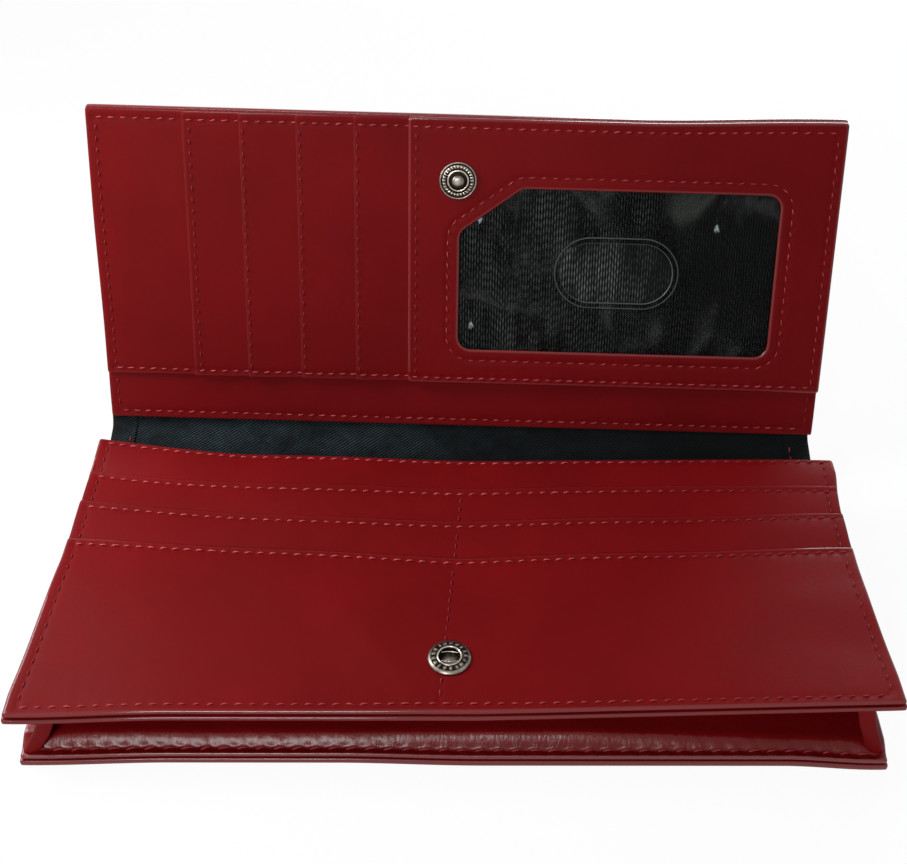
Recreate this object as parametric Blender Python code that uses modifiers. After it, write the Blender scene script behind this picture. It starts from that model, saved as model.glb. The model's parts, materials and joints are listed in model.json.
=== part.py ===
"""Long bifold wallet, standing half open.

The base cover lies on the table with a raised card block over it, and the lid
leans back from the soft spine behind them. Metres, +Z up, +X along the wallet,
and the origin under the middle of the half-open wallet.
"""

import math

import bpy
from mathutils import Euler, Vector

# Covers and soft sheets
WALLET_LENGTH = 0.190
COVER_LEATHER = 0.0011
FACING_LEATHER = 0.0008
SHEET_LEATHER = 0.0005
PANEL_LEATHER = 0.0007
STIFFENER = 0.0006
TWILL = 0.0004
HEM_TWILL = 0.00035
MESH_LINING = 0.00025
CLEAR_VINYL = 0.0002
SHEET_GAP = 0.0003
SEAT_GAP = 0.00015
COVER_CORNER_RADIUS = 0.0015
SHEET_CORNER_RADIUS = 0.001
EDGE_STEP = 0.0004
STIFFENER_MARGIN = 0.004

# Card block over the base
BLOCK_DEPTH = 0.0815
BLOCK_TOP_HEIGHT = 0.0175
BLOCK_MOUTHS = (0.0111, 0.0229, 0.0357)
MOUTH_OVERLAP = 0.004
MOUTH_LAP = 0.0006
BASE_FRONT_MARGIN = 0.0015
FACING_DEPTH = 0.026
GUSSET_LEATHER = 0.0006
GUSSET_FOOT_INSET = 0.0008
GUSSET_TOP_INSET = 0.0052
GUSSET_FOLD_DEPTH = 0.0045
GUSSET_FOLD_RUN = 0.012
GUSSET_FRONT_FOLD_SHARE = 0.12

# Folds at the spine, at rest as photographed
FOLD_CLEARANCE = 0.0017
HALF_FOLD_SLIT = 0.0002
SPINE_REST_ANGLE = math.radians(16.0)
LID_REST_ANGLE = math.radians(70.5)
SPINE_LINING_MARGIN = 0.0006
HEM_WIDTH = 0.0066
CLOSED_BACK_GAP = 0.00045

# Lid and its inside
LID_OVERHANG = 0.0016
STRIP_SETBACK = 0.0004
STRIP_DEPTH = 0.0128
LID_MOUTH_SHARES = (0.297, 0.474, 0.650, 0.829)
WINDOW_PANEL_LAP = 0.0132
WINDOW_FROM_CENTRE = 0.001
WINDOW_RIGHT_MARGIN = 0.0144
WINDOW_TOP_MARGIN = 0.0177
WINDOW_HEIGHT = 0.043
WINDOW_CHAMFER_LENGTH = 0.0158
WINDOW_CHAMFER_HEIGHT = 0.012
WINDOW_CORNER_RADIUS = 0.0035
WINDOW_SEAM = 0.003
THUMB_HOLE_LENGTH = 0.029
THUMB_HOLE_HEIGHT = 0.0156

# Snap fastener
SNAP_FROM_CENTRE = 0.0016
SOCKET_FROM_BLOCK_FRONT = 0.0139
SOCKET_RADIUS = 0.00485
SOCKET_BORE_RADIUS = 0.0023
SOCKET_HEIGHT = 0.0011
STUD_RING_RADIUS = 0.00475
STUD_RING_HEIGHT = 0.0007
STUD_RING_BORE_RADIUS = 0.0022
STUD_NECK_RADIUS = 0.0012
STUD_BALL_RADIUS = 0.0016
STUD_BALL_HEIGHT = 0.0015
STUD_HEIGHT = 0.0019
SNAP_BEVEL = 0.0004
CROWN_SHARE = 0.6
RIVET_FLANGE = 0.0003
RIVET_FLANGE_RADIUS = 0.0038
RIVET_SLEEVE = 0.0003
SPRING_WIRE = 0.00022
SPRING_CLEARANCE = 0.00012
SPRING_STEPS = 8

CORNER_STEPS = 3
ROUND_STEPS = 32
BALL_STEPS = 10
GUSSET_RISE_STEPS = 6
GUSSET_FOLD_STEPS = 5
MERGE_DISTANCE = 0.00001

# Heights in the card block, from the table
MOUTH_STEP = SHEET_LEATHER + SHEET_GAP
BLOCK_POCKETS = tuple(zip(BLOCK_MOUTHS, BLOCK_MOUTHS[1:]))
BLOCK_TAIL_DROP = MOUTH_STEP * (1 + MOUTH_OVERLAP / min(end - start for start, end in BLOCK_POCKETS))
BLOCK_MOUTH_HEIGHT = BLOCK_TOP_HEIGHT - PANEL_LEATHER
BLOCK_UNDER_TOP = BLOCK_MOUTH_HEIGHT - BLOCK_TAIL_DROP - SHEET_GAP
BLOCK_UNDERSIDE = BLOCK_UNDER_TOP - FACING_LEATHER
BASE_BOARD_FOOT = COVER_LEATHER + SHEET_GAP
BASE_FACING_FOOT = BASE_BOARD_FOOT + STIFFENER + SHEET_GAP
BASE_FACING_TOP = BASE_FACING_FOOT + FACING_LEATHER

# Places along the lid, from its left edge
WINDOW_LEFT = WALLET_LENGTH / 2 - WINDOW_FROM_CENTRE
WINDOW_RIGHT = WALLET_LENGTH - WINDOW_RIGHT_MARGIN
WINDOW_PANEL_EDGE = WINDOW_LEFT - WINDOW_PANEL_LAP
LID_MOUTHS = tuple(share * WINDOW_PANEL_EDGE for share in LID_MOUTH_SHARES)

# Heights in the lid, from the inner face of its outer leather
LID_POCKETS = tuple(zip(LID_MOUTHS, LID_MOUTHS[1:] + (WINDOW_PANEL_EDGE,)))
LID_TAIL_DROP = MOUTH_STEP * (1 + MOUTH_OVERLAP / min(end - start for start, end in LID_POCKETS))
LID_STRIP_FOOT = SHEET_GAP + STIFFENER + SHEET_GAP
LID_STRIP_TOP = LID_STRIP_FOOT + SHEET_LEATHER
LID_MOUTH_HEIGHT = LID_STRIP_TOP + SHEET_GAP + LID_TAIL_DROP
LID_STACK = LID_MOUTH_HEIGHT + PANEL_LEATHER

# Folds and their angles
SOCKET_FROM_BLOCK_BACK = BLOCK_DEPTH - SOCKET_FROM_BLOCK_FRONT
SNAP_FROM_FOLD = SOCKET_FROM_BLOCK_BACK + FOLD_CLEARANCE
STRIP_FROM_FOLD = FOLD_CLEARANCE + STRIP_SETBACK
SPINE_LENGTH = BLOCK_TOP_HEIGHT + CLOSED_BACK_GAP + LID_STACK - COVER_LEATHER
LID_DEPTH = STRIP_FROM_FOLD + BLOCK_DEPTH + LID_OVERHANG
WINDOW_TOP = LID_DEPTH - WINDOW_TOP_MARGIN
WINDOW_FOOT = WINDOW_TOP - WINDOW_HEIGHT
BASE_DEPTH = BASE_FRONT_MARGIN + BLOCK_DEPTH + FOLD_CLEARANCE

# Places, with the whole half-open wallet centred over the origin
OPEN_DEPTH = (
    BASE_DEPTH
    + SPINE_LENGTH * math.cos(SPINE_REST_ANGLE)
    + LID_DEPTH * math.cos(LID_REST_ANGLE)
    + COVER_LEATHER * math.sin(LID_REST_ANGLE)
)
BASE_FRONT = -OPEN_DEPTH / 2
BASE_FOLD = BASE_FRONT + BASE_DEPTH
BLOCK_BACK = BASE_FOLD - FOLD_CLEARANCE
BLOCK_FRONT = BLOCK_BACK - BLOCK_DEPTH
LEFT_EDGE = -WALLET_LENGTH / 2
SNAP_X = -SNAP_FROM_CENTRE

COLLECTION_NAME = "wallet"


def clear_scene():
    """Remove what the file already holds."""
    for old in list(bpy.data.objects):
        bpy.data.objects.remove(old, do_unlink=True)


def principled(name, colour, roughness, metallic=0.0, alpha=1.0):
    """Return a material of one plain finish."""
    material = bpy.data.materials.new(name)
    material.use_nodes = True
    shader = material.node_tree.nodes["Principled BSDF"]
    shader.inputs["Base Color"].default_value = (*colour, 1.0)
    shader.inputs["Roughness"].default_value = roughness
    shader.inputs["Metallic"].default_value = metallic
    shader.inputs["Alpha"].default_value = alpha
    return material


def link(piece, parent):
    """Put an object in the wallet's collection and under its fold."""
    bpy.data.collections[COLLECTION_NAME].objects.link(piece)
    piece.parent = parent
    return piece


def pivot(name, location, parent=None, tilt=0.0):
    """Return an empty on a fold line, tilted about X."""
    empty = link(bpy.data.objects.new(name, None), parent)
    empty.empty_display_size = FOLD_CLEARANCE
    empty.location = location
    empty.rotation_euler = (tilt, 0.0, 0.0)
    return empty


def arc(centre, radius, start, turn, steps):
    """Return points along an arc, both ends included."""
    points = []
    for index in range(steps + 1):
        angle = start + turn * index / steps
        points.append((centre[0] + radius * math.cos(angle), centre[1] + radius * math.sin(angle)))
    return points


def circle(centre, radius):
    """Return a circle's outline."""
    return arc(centre, radius, 0.0, math.tau, ROUND_STEPS)[:-1]


def stadium(centre, length, height):
    """Return the outline of a slot with half-round ends."""
    radius = height / 2
    reach = length / 2 - radius
    half_turn = ROUND_STEPS // 2
    points = arc((centre[0] + reach, centre[1]), radius, -math.pi / 2, math.pi, half_turn)
    points += arc((centre[0] - reach, centre[1]), radius, math.pi / 2, math.pi, half_turn)
    return points


def sheet_outline(start, end, left=EDGE_STEP, right=WALLET_LENGTH - EDGE_STEP, radii=(0.0, 0.0)):
    """Return a sheet's outline between two depths and two places along the wallet.

    The radii round the two corners at the start and the two at the end.
    """
    near, far = LEFT_EDGE + left, LEFT_EDGE + right
    foot, top = radii
    corners = (
        (far - foot, start + foot, foot),
        (far - top, end - top, top),
        (near + top, end - top, top),
        (near + foot, start + foot, foot),
    )
    points = []
    for index, (x, y, radius) in enumerate(corners):
        steps = CORNER_STEPS if radius else 1
        turned = arc((x, y), radius, (index - 1) * math.pi / 2, math.pi / 2, steps)
        points += turned if radius else turned[:1]
    return points


def window_outline(spread=0.0):
    """Return the card window's outline, one corner cut off, grown by a spread."""
    left = LEFT_EDGE + WINDOW_LEFT
    right = LEFT_EDGE + WINDOW_RIGHT - WINDOW_CORNER_RADIUS
    near = left + WINDOW_CORNER_RADIUS
    low = WINDOW_FOOT + WINDOW_CORNER_RADIUS
    high = WINDOW_TOP - WINDOW_CORNER_RADIUS
    quarter = math.pi / 2
    slant = math.atan2(WINDOW_CHAMFER_HEIGHT, WINDOW_CHAMFER_LENGTH)
    rest = quarter - slant
    cut_x = left + WINDOW_CHAMFER_LENGTH + WINDOW_CORNER_RADIUS * math.tan(slant / 2)
    cut_y = WINDOW_TOP - WINDOW_CHAMFER_HEIGHT - WINDOW_CORNER_RADIUS * math.tan(rest / 2)
    corners = (
        ((right, low), -quarter, quarter),
        ((right, high), 0.0, quarter),
        ((cut_x, high), quarter, slant),
        ((near, cut_y), quarter + slant, rest),
        ((near, low), math.pi, quarter),
    )
    points = []
    for centre, start, turn in corners:
        points += arc(centre, WINDOW_CORNER_RADIUS + spread, start, turn, CORNER_STEPS)
    return points


def flat_piece(name, outlines, seat, thickness, material, parent, tilt=(0.0, 0.0, 0.0)):
    """Return a flat sheet from its outer outline and the holes inside it.

    The outlines lie on the sheet's lower face, the seat is where their origin
    goes in the parent's frame, and the tilt turns the sheet about it.
    """
    curve = bpy.data.curves.new(name, "CURVE")
    curve.dimensions = "2D"
    curve.fill_mode = "BOTH"
    curve.extrude = thickness / 2
    curve.materials.append(material)
    for outline in outlines:
        spline = curve.splines.new("POLY")
        spline.points.add(len(outline) - 1)
        for point, (x, y) in zip(spline.points, outline):
            point.co = (x, y, 0.0, 1.0)
        spline.use_cyclic_u = True
    piece = link(bpy.data.objects.new(name, curve), parent)
    piece.location = Vector(seat) + Euler(tilt).to_matrix() @ Vector((0.0, 0.0, thickness / 2))
    piece.rotation_euler = tilt
    return piece


def turned_piece(name, profile, seat, material, parent, closed=True):
    """Return a round piece turned from a profile of radii and heights.

    The profile runs down its outer side. A closed one makes a ring.
    """
    mesh = bpy.data.meshes.new(name)
    count = len(profile)
    edges = [(index, index + 1) for index in range(count - 1)]
    if closed:
        edges.append((count - 1, 0))
    mesh.from_pydata([(radius, 0.0, height) for radius, height in profile], edges, [])
    mesh.materials.append(material)
    piece = link(bpy.data.objects.new(name, mesh), parent)
    piece.location = seat
    screw = piece.modifiers.new("turn", "SCREW")
    screw.steps = ROUND_STEPS
    screw.render_steps = ROUND_STEPS
    screw.use_merge_vertices = True
    screw.merge_threshold = MERGE_DISTANCE
    return piece


def build_base(glossy, board, twill):
    """Make the cover that lies on the table and what lines it."""
    cover = sheet_outline(
        BASE_FRONT, BASE_FOLD - HALF_FOLD_SLIT, 0.0, WALLET_LENGTH, (COVER_CORNER_RADIUS, 0.0)
    )
    flat_piece("base_outer_leather", [cover], (0.0, 0.0, 0.0), COVER_LEATHER, glossy, None)
    stiffener = sheet_outline(
        BASE_FRONT + STIFFENER_MARGIN,
        BLOCK_BACK - STIFFENER_MARGIN,
        STIFFENER_MARGIN,
        WALLET_LENGTH - STIFFENER_MARGIN,
    )
    flat_piece("base_board", [stiffener], (0.0, 0.0, BASE_BOARD_FOOT), STIFFENER, board, None)
    facing_end = BASE_FRONT + FACING_DEPTH
    facing = sheet_outline(BASE_FRONT + EDGE_STEP, facing_end, radii=(SHEET_CORNER_RADIUS, 0.0))
    seat = (0.0, 0.0, BASE_FACING_FOOT)
    flat_piece("base_front_facing", [facing], seat, FACING_LEATHER, glossy, None)
    lining = sheet_outline(facing_end + SHEET_GAP, BLOCK_BACK)
    flat_piece("bill_pocket_lining", [lining], seat, TWILL, twill, None)


def gusset_section(run):
    """Return how far behind its front edge a gusset's section lies, and its fold.

    The fold grows from nearly flat at the front edge to full over the fold run,
    and then stays full to the back.
    """
    steps = GUSSET_FOLD_STEPS
    if run > steps:
        return BLOCK_DEPTH - EDGE_STEP - EDGE_STEP, 1.0
    ease = math.sin(run / steps * math.pi / 2)
    share = GUSSET_FRONT_FOLD_SHARE + (1 - GUSSET_FRONT_FOLD_SHARE) * ease
    return GUSSET_FOLD_RUN * run / steps, share


def gusset_points(side):
    """Return a gusset's grid of points, from its front edge to its back."""
    foot = BASE_FACING_TOP + SHEET_GAP + GUSSET_LEATHER / 2
    top = BLOCK_UNDERSIDE - SHEET_GAP - GUSSET_LEATHER / 2
    points = []
    for run in range(GUSSET_FOLD_STEPS + 2):
        behind, share = gusset_section(run)
        for step in range(GUSSET_RISE_STEPS + 1):
            rise = step / GUSSET_RISE_STEPS
            inset = GUSSET_FOOT_INSET + (GUSSET_TOP_INSET - GUSSET_FOOT_INSET) * rise
            inset += GUSSET_FOLD_DEPTH * share * math.sin(math.pi * rise)
            front = BASE_FRONT + (BLOCK_FRONT - BASE_FRONT) * rise + EDGE_STEP
            back = BLOCK_BACK - EDGE_STEP
            y = min(front + behind, back)
            points.append((side * (LEFT_EDGE + inset), y, foot + (top - foot) * rise))
    return points


def build_gussets(glossy):
    """Make the side walls that fold inwards between the base and the card block."""
    rows, columns = GUSSET_FOLD_STEPS + 2, GUSSET_RISE_STEPS + 1
    faces = []
    for row in range(rows - 1):
        for column in range(columns - 1):
            corner = row * columns + column
            faces.append((corner, corner + 1, corner + columns + 1, corner + columns))
    for name, side in (("gusset_left", 1), ("gusset_right", -1)):
        mesh = bpy.data.meshes.new(name)
        mesh.from_pydata(gusset_points(side), [], faces)
        mesh.materials.append(glossy)
        mesh.shade_smooth()
        piece = link(bpy.data.objects.new(name, mesh), None)
        shell = piece.modifiers.new("leather", "SOLIDIFY")
        shell.thickness = GUSSET_LEATHER
        shell.offset = 0.0
        shell.use_even_offset = True


def build_spine(fold, glossy, twill):
    """Make the soft spine and the lining that shows between lid and block."""
    cover = sheet_outline(HALF_FOLD_SLIT, SPINE_LENGTH - HALF_FOLD_SLIT, 0.0, WALLET_LENGTH)
    flat_piece("spine_outer_leather", [cover], (0.0, 0.0, -COVER_LEATHER), COVER_LEATHER, glossy, fold)
    start, end = SPINE_LINING_MARGIN, SPINE_LENGTH - SPINE_LINING_MARGIN
    flat_piece("spine_lining", [sheet_outline(start, end)], (0.0, 0.0, SHEET_GAP), TWILL, twill, fold)
    hem_seat = (0.0, 0.0, SHEET_GAP + TWILL + SHEET_GAP)
    left = sheet_outline(start, end, EDGE_STEP, HEM_WIDTH)
    flat_piece("spine_hem_left", [left], hem_seat, HEM_TWILL, twill, fold)
    right = sheet_outline(start, end, WALLET_LENGTH - HEM_WIDTH, WALLET_LENGTH - EDGE_STEP)
    flat_piece("spine_hem_right", [right], hem_seat, HEM_TWILL, twill, fold)


def build_lid_cover(fold, glossy, smooth, board):
    """Make the lid's outer leather, its stiffener and the panel along its foot."""
    cover = sheet_outline(HALF_FOLD_SLIT, LID_DEPTH, 0.0, WALLET_LENGTH, (0.0, COVER_CORNER_RADIUS))
    flat_piece("lid_outer_leather", [cover], (0.0, 0.0, -COVER_LEATHER), COVER_LEATHER, glossy, fold)
    stiffener = sheet_outline(
        STRIP_FROM_FOLD + STIFFENER_MARGIN,
        LID_DEPTH - STIFFENER_MARGIN,
        STIFFENER_MARGIN,
        WALLET_LENGTH - STIFFENER_MARGIN,
    )
    flat_piece("lid_board", [stiffener], (0.0, 0.0, SHEET_GAP), STIFFENER, board, fold)
    strip = sheet_outline(STRIP_FROM_FOLD, LID_DEPTH - EDGE_STEP, radii=(0.0, SHEET_CORNER_RADIUS))
    flat_piece("lid_strip_panel", [strip], (0.0, 0.0, LID_STRIP_FOOT), SHEET_LEATHER, smooth, fold)


def build_lid_pockets(fold, smooth):
    """Make the lid's left panel and the four card pockets that lap beside it."""
    start, end = STRIP_FROM_FOLD + STRIP_DEPTH, LID_DEPTH - EDGE_STEP
    panel = sheet_outline(start, end, EDGE_STEP, LID_MOUTHS[0] + MOUTH_LAP)
    seat = (0.0, 0.0, LID_MOUTH_HEIGHT - MOUTH_STEP)
    flat_piece("lid_left_panel", [panel], seat, SHEET_LEATHER, smooth, fold)
    for number, (mouth, next_mouth) in enumerate(LID_POCKETS, start=1):
        pitch = next_mouth - mouth
        pocket = sheet_outline(start, end, -LEFT_EDGE, pitch + MOUTH_OVERLAP - LEFT_EDGE)
        tilt = (0.0, math.atan(MOUTH_STEP / pitch), 0.0)
        seat = (LEFT_EDGE + mouth, 0.0, LID_MOUTH_HEIGHT)
        flat_piece(f"lid_card_pocket_{number}", [pocket], seat, SHEET_LEATHER, smooth, fold, tilt)


def build_window(fold, smooth, twill, vinyl):
    """Make the window panel, its clear sheet with a thumb hole and the backing."""
    panel = sheet_outline(
        STRIP_FROM_FOLD + STRIP_DEPTH,
        LID_DEPTH - EDGE_STEP,
        WINDOW_PANEL_EDGE,
        radii=(0.0, SHEET_CORNER_RADIUS),
    )
    stud_place = (SNAP_X, SNAP_FROM_FOLD)
    stud_hole = circle(stud_place, STUD_NECK_RADIUS + SHEET_GAP)
    holes = [window_outline(), stud_hole]
    seat = (0.0, 0.0, LID_MOUTH_HEIGHT)
    flat_piece("window_panel", [panel, *holes], seat, PANEL_LEATHER, smooth, fold)
    window_middle = (LEFT_EDGE + (WINDOW_LEFT + WINDOW_RIGHT) / 2, (WINDOW_FOOT + WINDOW_TOP) / 2)
    thumb_hole = stadium(window_middle, THUMB_HOLE_LENGTH, THUMB_HOLE_HEIGHT)
    clear = [window_outline(WINDOW_SEAM), thumb_hole]
    seat = (0.0, 0.0, LID_MOUTH_HEIGHT - SHEET_GAP - CLEAR_VINYL)
    flat_piece("window_vinyl", clear, seat, CLEAR_VINYL, vinyl, fold)
    seat = (0.0, 0.0, LID_STRIP_TOP + SHEET_GAP)
    flat_piece("window_backing", [window_outline(WINDOW_SEAM)], seat, MESH_LINING, twill, fold)


def build_stud(fold, nickel):
    """Make the snap's stud: a ring on the panel and a post riveted through it."""
    crown = STUD_RING_HEIGHT * CROWN_SHARE
    ring = [
        (STUD_RING_BORE_RADIUS, crown),
        (STUD_RING_BORE_RADIUS + SNAP_BEVEL, STUD_RING_HEIGHT),
        (STUD_RING_RADIUS - SNAP_BEVEL, STUD_RING_HEIGHT),
        (STUD_RING_RADIUS, crown),
        (STUD_RING_RADIUS, 0.0),
        (STUD_RING_BORE_RADIUS, 0.0),
    ]
    seat = (SNAP_X, SNAP_FROM_FOLD, LID_STACK + SEAT_GAP)
    turned_piece("stud_ring", ring, seat, nickel, fold)
    flange_top = -PANEL_LEATHER - SEAT_GAP
    ball_middle = STUD_HEIGHT - STUD_BALL_HEIGHT / 2
    post = []
    for index in range(BALL_STEPS + 1):
        angle = math.pi * index / BALL_STEPS
        radius = STUD_BALL_RADIUS * math.sin(angle)
        if angle < math.pi / 2 or radius > STUD_NECK_RADIUS:
            post.append((radius, ball_middle + STUD_BALL_HEIGHT / 2 * math.cos(angle)))
    post += [
        (STUD_NECK_RADIUS, ball_middle - STUD_BALL_HEIGHT / 2),
        (STUD_NECK_RADIUS, flange_top),
        (RIVET_FLANGE_RADIUS, flange_top),
        (RIVET_FLANGE_RADIUS, flange_top - RIVET_FLANGE),
        (0.0, flange_top - RIVET_FLANGE),
    ]
    turned_piece("stud_post", post, (SNAP_X, SNAP_FROM_FOLD, LID_STACK), nickel, fold, closed=False)


def build_block(press, glossy, smooth, board):
    """Make the raised card block: its underside, its pockets and its front panel."""
    under = sheet_outline(-BLOCK_DEPTH, 0.0, 0.0, WALLET_LENGTH, (SHEET_CORNER_RADIUS, SHEET_CORNER_RADIUS))
    flat_piece("block_under_panel", [under], (0.0, 0.0, 0.0), FACING_LEATHER, glossy, press)
    back = sheet_outline(-BLOCK_MOUTHS[0] - MOUTH_LAP, -EDGE_STEP, radii=(0.0, SHEET_CORNER_RADIUS))
    mouth_height = BLOCK_MOUTH_HEIGHT - BLOCK_UNDERSIDE
    seat = (0.0, 0.0, mouth_height - MOUTH_STEP)
    flat_piece("block_back_panel", [back], seat, SHEET_LEATHER, smooth, press)
    for number, (mouth, next_mouth) in enumerate(BLOCK_POCKETS, start=1):
        pitch = next_mouth - mouth
        pocket = sheet_outline(-pitch - MOUTH_OVERLAP, 0.0)
        tilt = (math.atan(MOUTH_STEP / pitch), 0.0, 0.0)
        seat = (0.0, -mouth, mouth_height)
        flat_piece(f"block_card_pocket_{number}", [pocket], seat, SHEET_LEATHER, smooth, press, tilt)
    socket_place = (SNAP_X, -SOCKET_FROM_BLOCK_BACK)
    front = sheet_outline(
        EDGE_STEP - BLOCK_DEPTH, -BLOCK_MOUTHS[-1], radii=(SHEET_CORNER_RADIUS, 0.0)
    )
    sleeve_hole = circle(socket_place, SOCKET_BORE_RADIUS + SHEET_GAP)
    seat = (0.0, 0.0, mouth_height)
    flat_piece("block_front_panel", [front, sleeve_hole], seat, PANEL_LEATHER, smooth, press)
    stiffener = sheet_outline(
        STIFFENER_MARGIN - BLOCK_DEPTH,
        -BLOCK_MOUTHS[-1] - MOUTH_OVERLAP - SHEET_GAP,
        STIFFENER_MARGIN,
        WALLET_LENGTH - STIFFENER_MARGIN,
    )
    flange_hole = circle(socket_place, RIVET_FLANGE_RADIUS + SHEET_GAP)
    seat = (0.0, 0.0, FACING_LEATHER + SHEET_GAP)
    flat_piece("block_board", [stiffener, flange_hole], seat, STIFFENER, board, press)


def build_socket(press, nickel):
    """Make the snap's socket: a ring on the front panel, its spring and hollow rivet."""
    crown = SOCKET_HEIGHT * CROWN_SHARE
    ring = [
        (SOCKET_BORE_RADIUS, crown),
        (SOCKET_BORE_RADIUS + SNAP_BEVEL, SOCKET_HEIGHT),
        (SOCKET_RADIUS - SNAP_BEVEL, SOCKET_HEIGHT),
        (SOCKET_RADIUS, crown),
        (SOCKET_RADIUS, 0.0),
        (SOCKET_BORE_RADIUS, 0.0),
    ]
    top = BLOCK_TOP_HEIGHT - BLOCK_UNDERSIDE
    seat = (SNAP_X, -SOCKET_FROM_BLOCK_BACK, top + SEAT_GAP)
    turned_piece("socket_ring", ring, seat, nickel, press)
    wire = SPRING_WIRE / 2
    spring_radius = SOCKET_BORE_RADIUS - SPRING_CLEARANCE - wire
    turns = arc((spring_radius, 0.0), wire, 0.0, -math.tau, SPRING_STEPS)[:-1]
    middle = (SNAP_X, -SOCKET_FROM_BLOCK_BACK, top + SEAT_GAP + SOCKET_HEIGHT / 2)
    turned_piece("socket_spring", turns, middle, nickel, press)
    flange_top = -PANEL_LEATHER - SEAT_GAP
    sleeve_bore = SOCKET_BORE_RADIUS - RIVET_SLEEVE
    rivet = [
        (sleeve_bore, 0.0),
        (SOCKET_BORE_RADIUS, 0.0),
        (SOCKET_BORE_RADIUS, flange_top),
        (RIVET_FLANGE_RADIUS, flange_top),
        (RIVET_FLANGE_RADIUS, flange_top - RIVET_FLANGE),
        (sleeve_bore, flange_top - RIVET_FLANGE),
    ]
    turned_piece("socket_rivet", rivet, (SNAP_X, -SOCKET_FROM_BLOCK_BACK, top), nickel, press)


def main():
    """Build the wallet."""
    clear_scene()
    bpy.context.scene.collection.children.link(bpy.data.collections.new(COLLECTION_NAME))
    glossy = principled("glossy red leather", (0.17, 0.009, 0.013), 0.30)
    smooth = principled("smooth red leather", (0.13, 0.007, 0.008), 0.45)
    board = principled("grey stiffener board", (0.25, 0.23, 0.20), 0.85)
    twill = principled("black twill lining", (0.014, 0.018, 0.021), 0.80)
    vinyl = principled("clear vinyl", (0.60, 0.62, 0.62), 0.10, alpha=0.3)
    nickel = principled("antique nickel", (0.35, 0.30, 0.24), 0.30, metallic=1.0)
    spine_fold = pivot("spine_fold", (0.0, BASE_FOLD, COVER_LEATHER), tilt=SPINE_REST_ANGLE)
    lid_tilt = LID_REST_ANGLE - SPINE_REST_ANGLE
    lid_fold = pivot("lid_fold", (0.0, SPINE_LENGTH, 0.0), spine_fold, lid_tilt)
    block_press = pivot("block_press", (0.0, BLOCK_BACK, BLOCK_UNDERSIDE))
    build_base(glossy, board, twill)
    build_gussets(glossy)
    build_spine(spine_fold, glossy, twill)
    build_lid_cover(lid_fold, glossy, smooth, board)
    build_lid_pockets(lid_fold, smooth)
    build_window(lid_fold, smooth, twill, vinyl)
    build_stud(lid_fold, nickel)
    build_block(block_press, glossy, smooth, board)
    build_socket(block_press, nickel)


if __name__ == "__main__":
    main()
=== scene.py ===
"""Long bifold wallet in burgundy leather, standing half open on a pale table.

Lengths are millimetres until a mesh is made. A place on a sheet is given as x
along the wallet, depth across the sheet and height above its seat.
"""

import json
import logging
import math
from collections.abc import Callable, Sequence
from dataclasses import dataclass, field
from enum import Enum

import bmesh
import bpy
import numpy as np
from mathutils import Matrix, Vector

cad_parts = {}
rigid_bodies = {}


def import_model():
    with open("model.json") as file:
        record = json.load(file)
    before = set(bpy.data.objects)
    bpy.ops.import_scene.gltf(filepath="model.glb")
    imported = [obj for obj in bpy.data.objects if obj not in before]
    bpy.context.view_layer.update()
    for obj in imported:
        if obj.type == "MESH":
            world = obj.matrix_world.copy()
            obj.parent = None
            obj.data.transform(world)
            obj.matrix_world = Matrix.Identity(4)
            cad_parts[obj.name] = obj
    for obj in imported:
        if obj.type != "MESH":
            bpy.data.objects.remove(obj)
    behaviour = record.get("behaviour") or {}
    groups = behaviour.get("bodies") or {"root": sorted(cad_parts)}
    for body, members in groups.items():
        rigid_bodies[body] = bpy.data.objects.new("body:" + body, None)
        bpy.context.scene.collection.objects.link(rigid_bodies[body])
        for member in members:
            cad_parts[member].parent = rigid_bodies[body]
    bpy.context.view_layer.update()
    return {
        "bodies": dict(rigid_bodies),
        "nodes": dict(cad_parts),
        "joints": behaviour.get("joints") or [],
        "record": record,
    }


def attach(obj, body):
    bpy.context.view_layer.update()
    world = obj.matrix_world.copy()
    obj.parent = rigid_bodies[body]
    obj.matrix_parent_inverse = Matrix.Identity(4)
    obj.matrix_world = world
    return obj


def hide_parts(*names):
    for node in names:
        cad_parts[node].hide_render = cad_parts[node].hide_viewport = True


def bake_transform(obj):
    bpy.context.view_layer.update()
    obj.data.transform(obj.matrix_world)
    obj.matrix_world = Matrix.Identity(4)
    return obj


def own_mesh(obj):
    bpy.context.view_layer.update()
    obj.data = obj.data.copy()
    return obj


LOG = logging.getLogger("wallet")
MM = 0.001
IMAGE_WIDTH = 907
SHARP_ANGLE = math.radians(55)
WELD_DISTANCE = 1e-7
WHITE = (1.0, 1.0, 1.0, 1.0)
Points = np.ndarray
Place = tuple[float, float]
Piece = bpy.types.Object
Material = bpy.types.Material
Field = Callable[[Points, Points], Points]

# Sizes that the CAD part gives its pieces
HALF_LENGTH = 95.0
EDGE_STEP = 0.4
COVER_THICKNESS = 1.1
SPINE_LEAN = 16.0
LID_LEAN = 70.5
BLOCK_DEPTH = 81.5
BLOCK_UNDERSIDE = 14.629
MOUTH_HEIGHT = 16.8
LID_DEPTH = 85.2
LID_STRIP_FOOT = 1.2
LID_MOUTH_HEIGHT = 3.032
STRIP_START = 2.1
PANEL_START = 14.9
SNAP_X = -1.6
SNAP_DEPTH = 69.3
SOCKET_DEPTH = 13.9


def smooth_step(value: Points, low: float, high: float) -> Points:
    """Return 0 below low, 1 above high and 3t^2 - 2t^3 between them."""
    share = np.clip((value - low) / (high - low), 0.0, 1.0)
    return share * share * (3.0 - 2.0 * share)


def flat(x: Points, depth: Points) -> Points:
    """Return no height at all, for a sheet that lies flat."""
    return np.zeros(np.broadcast(x, depth).shape)


def arrays(x: Points, depth: Points) -> tuple[Points, Points]:
    """Return both as arrays of numbers of one shape."""
    return np.broadcast_arrays(np.asarray(x, float), np.asarray(depth, float))


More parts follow.
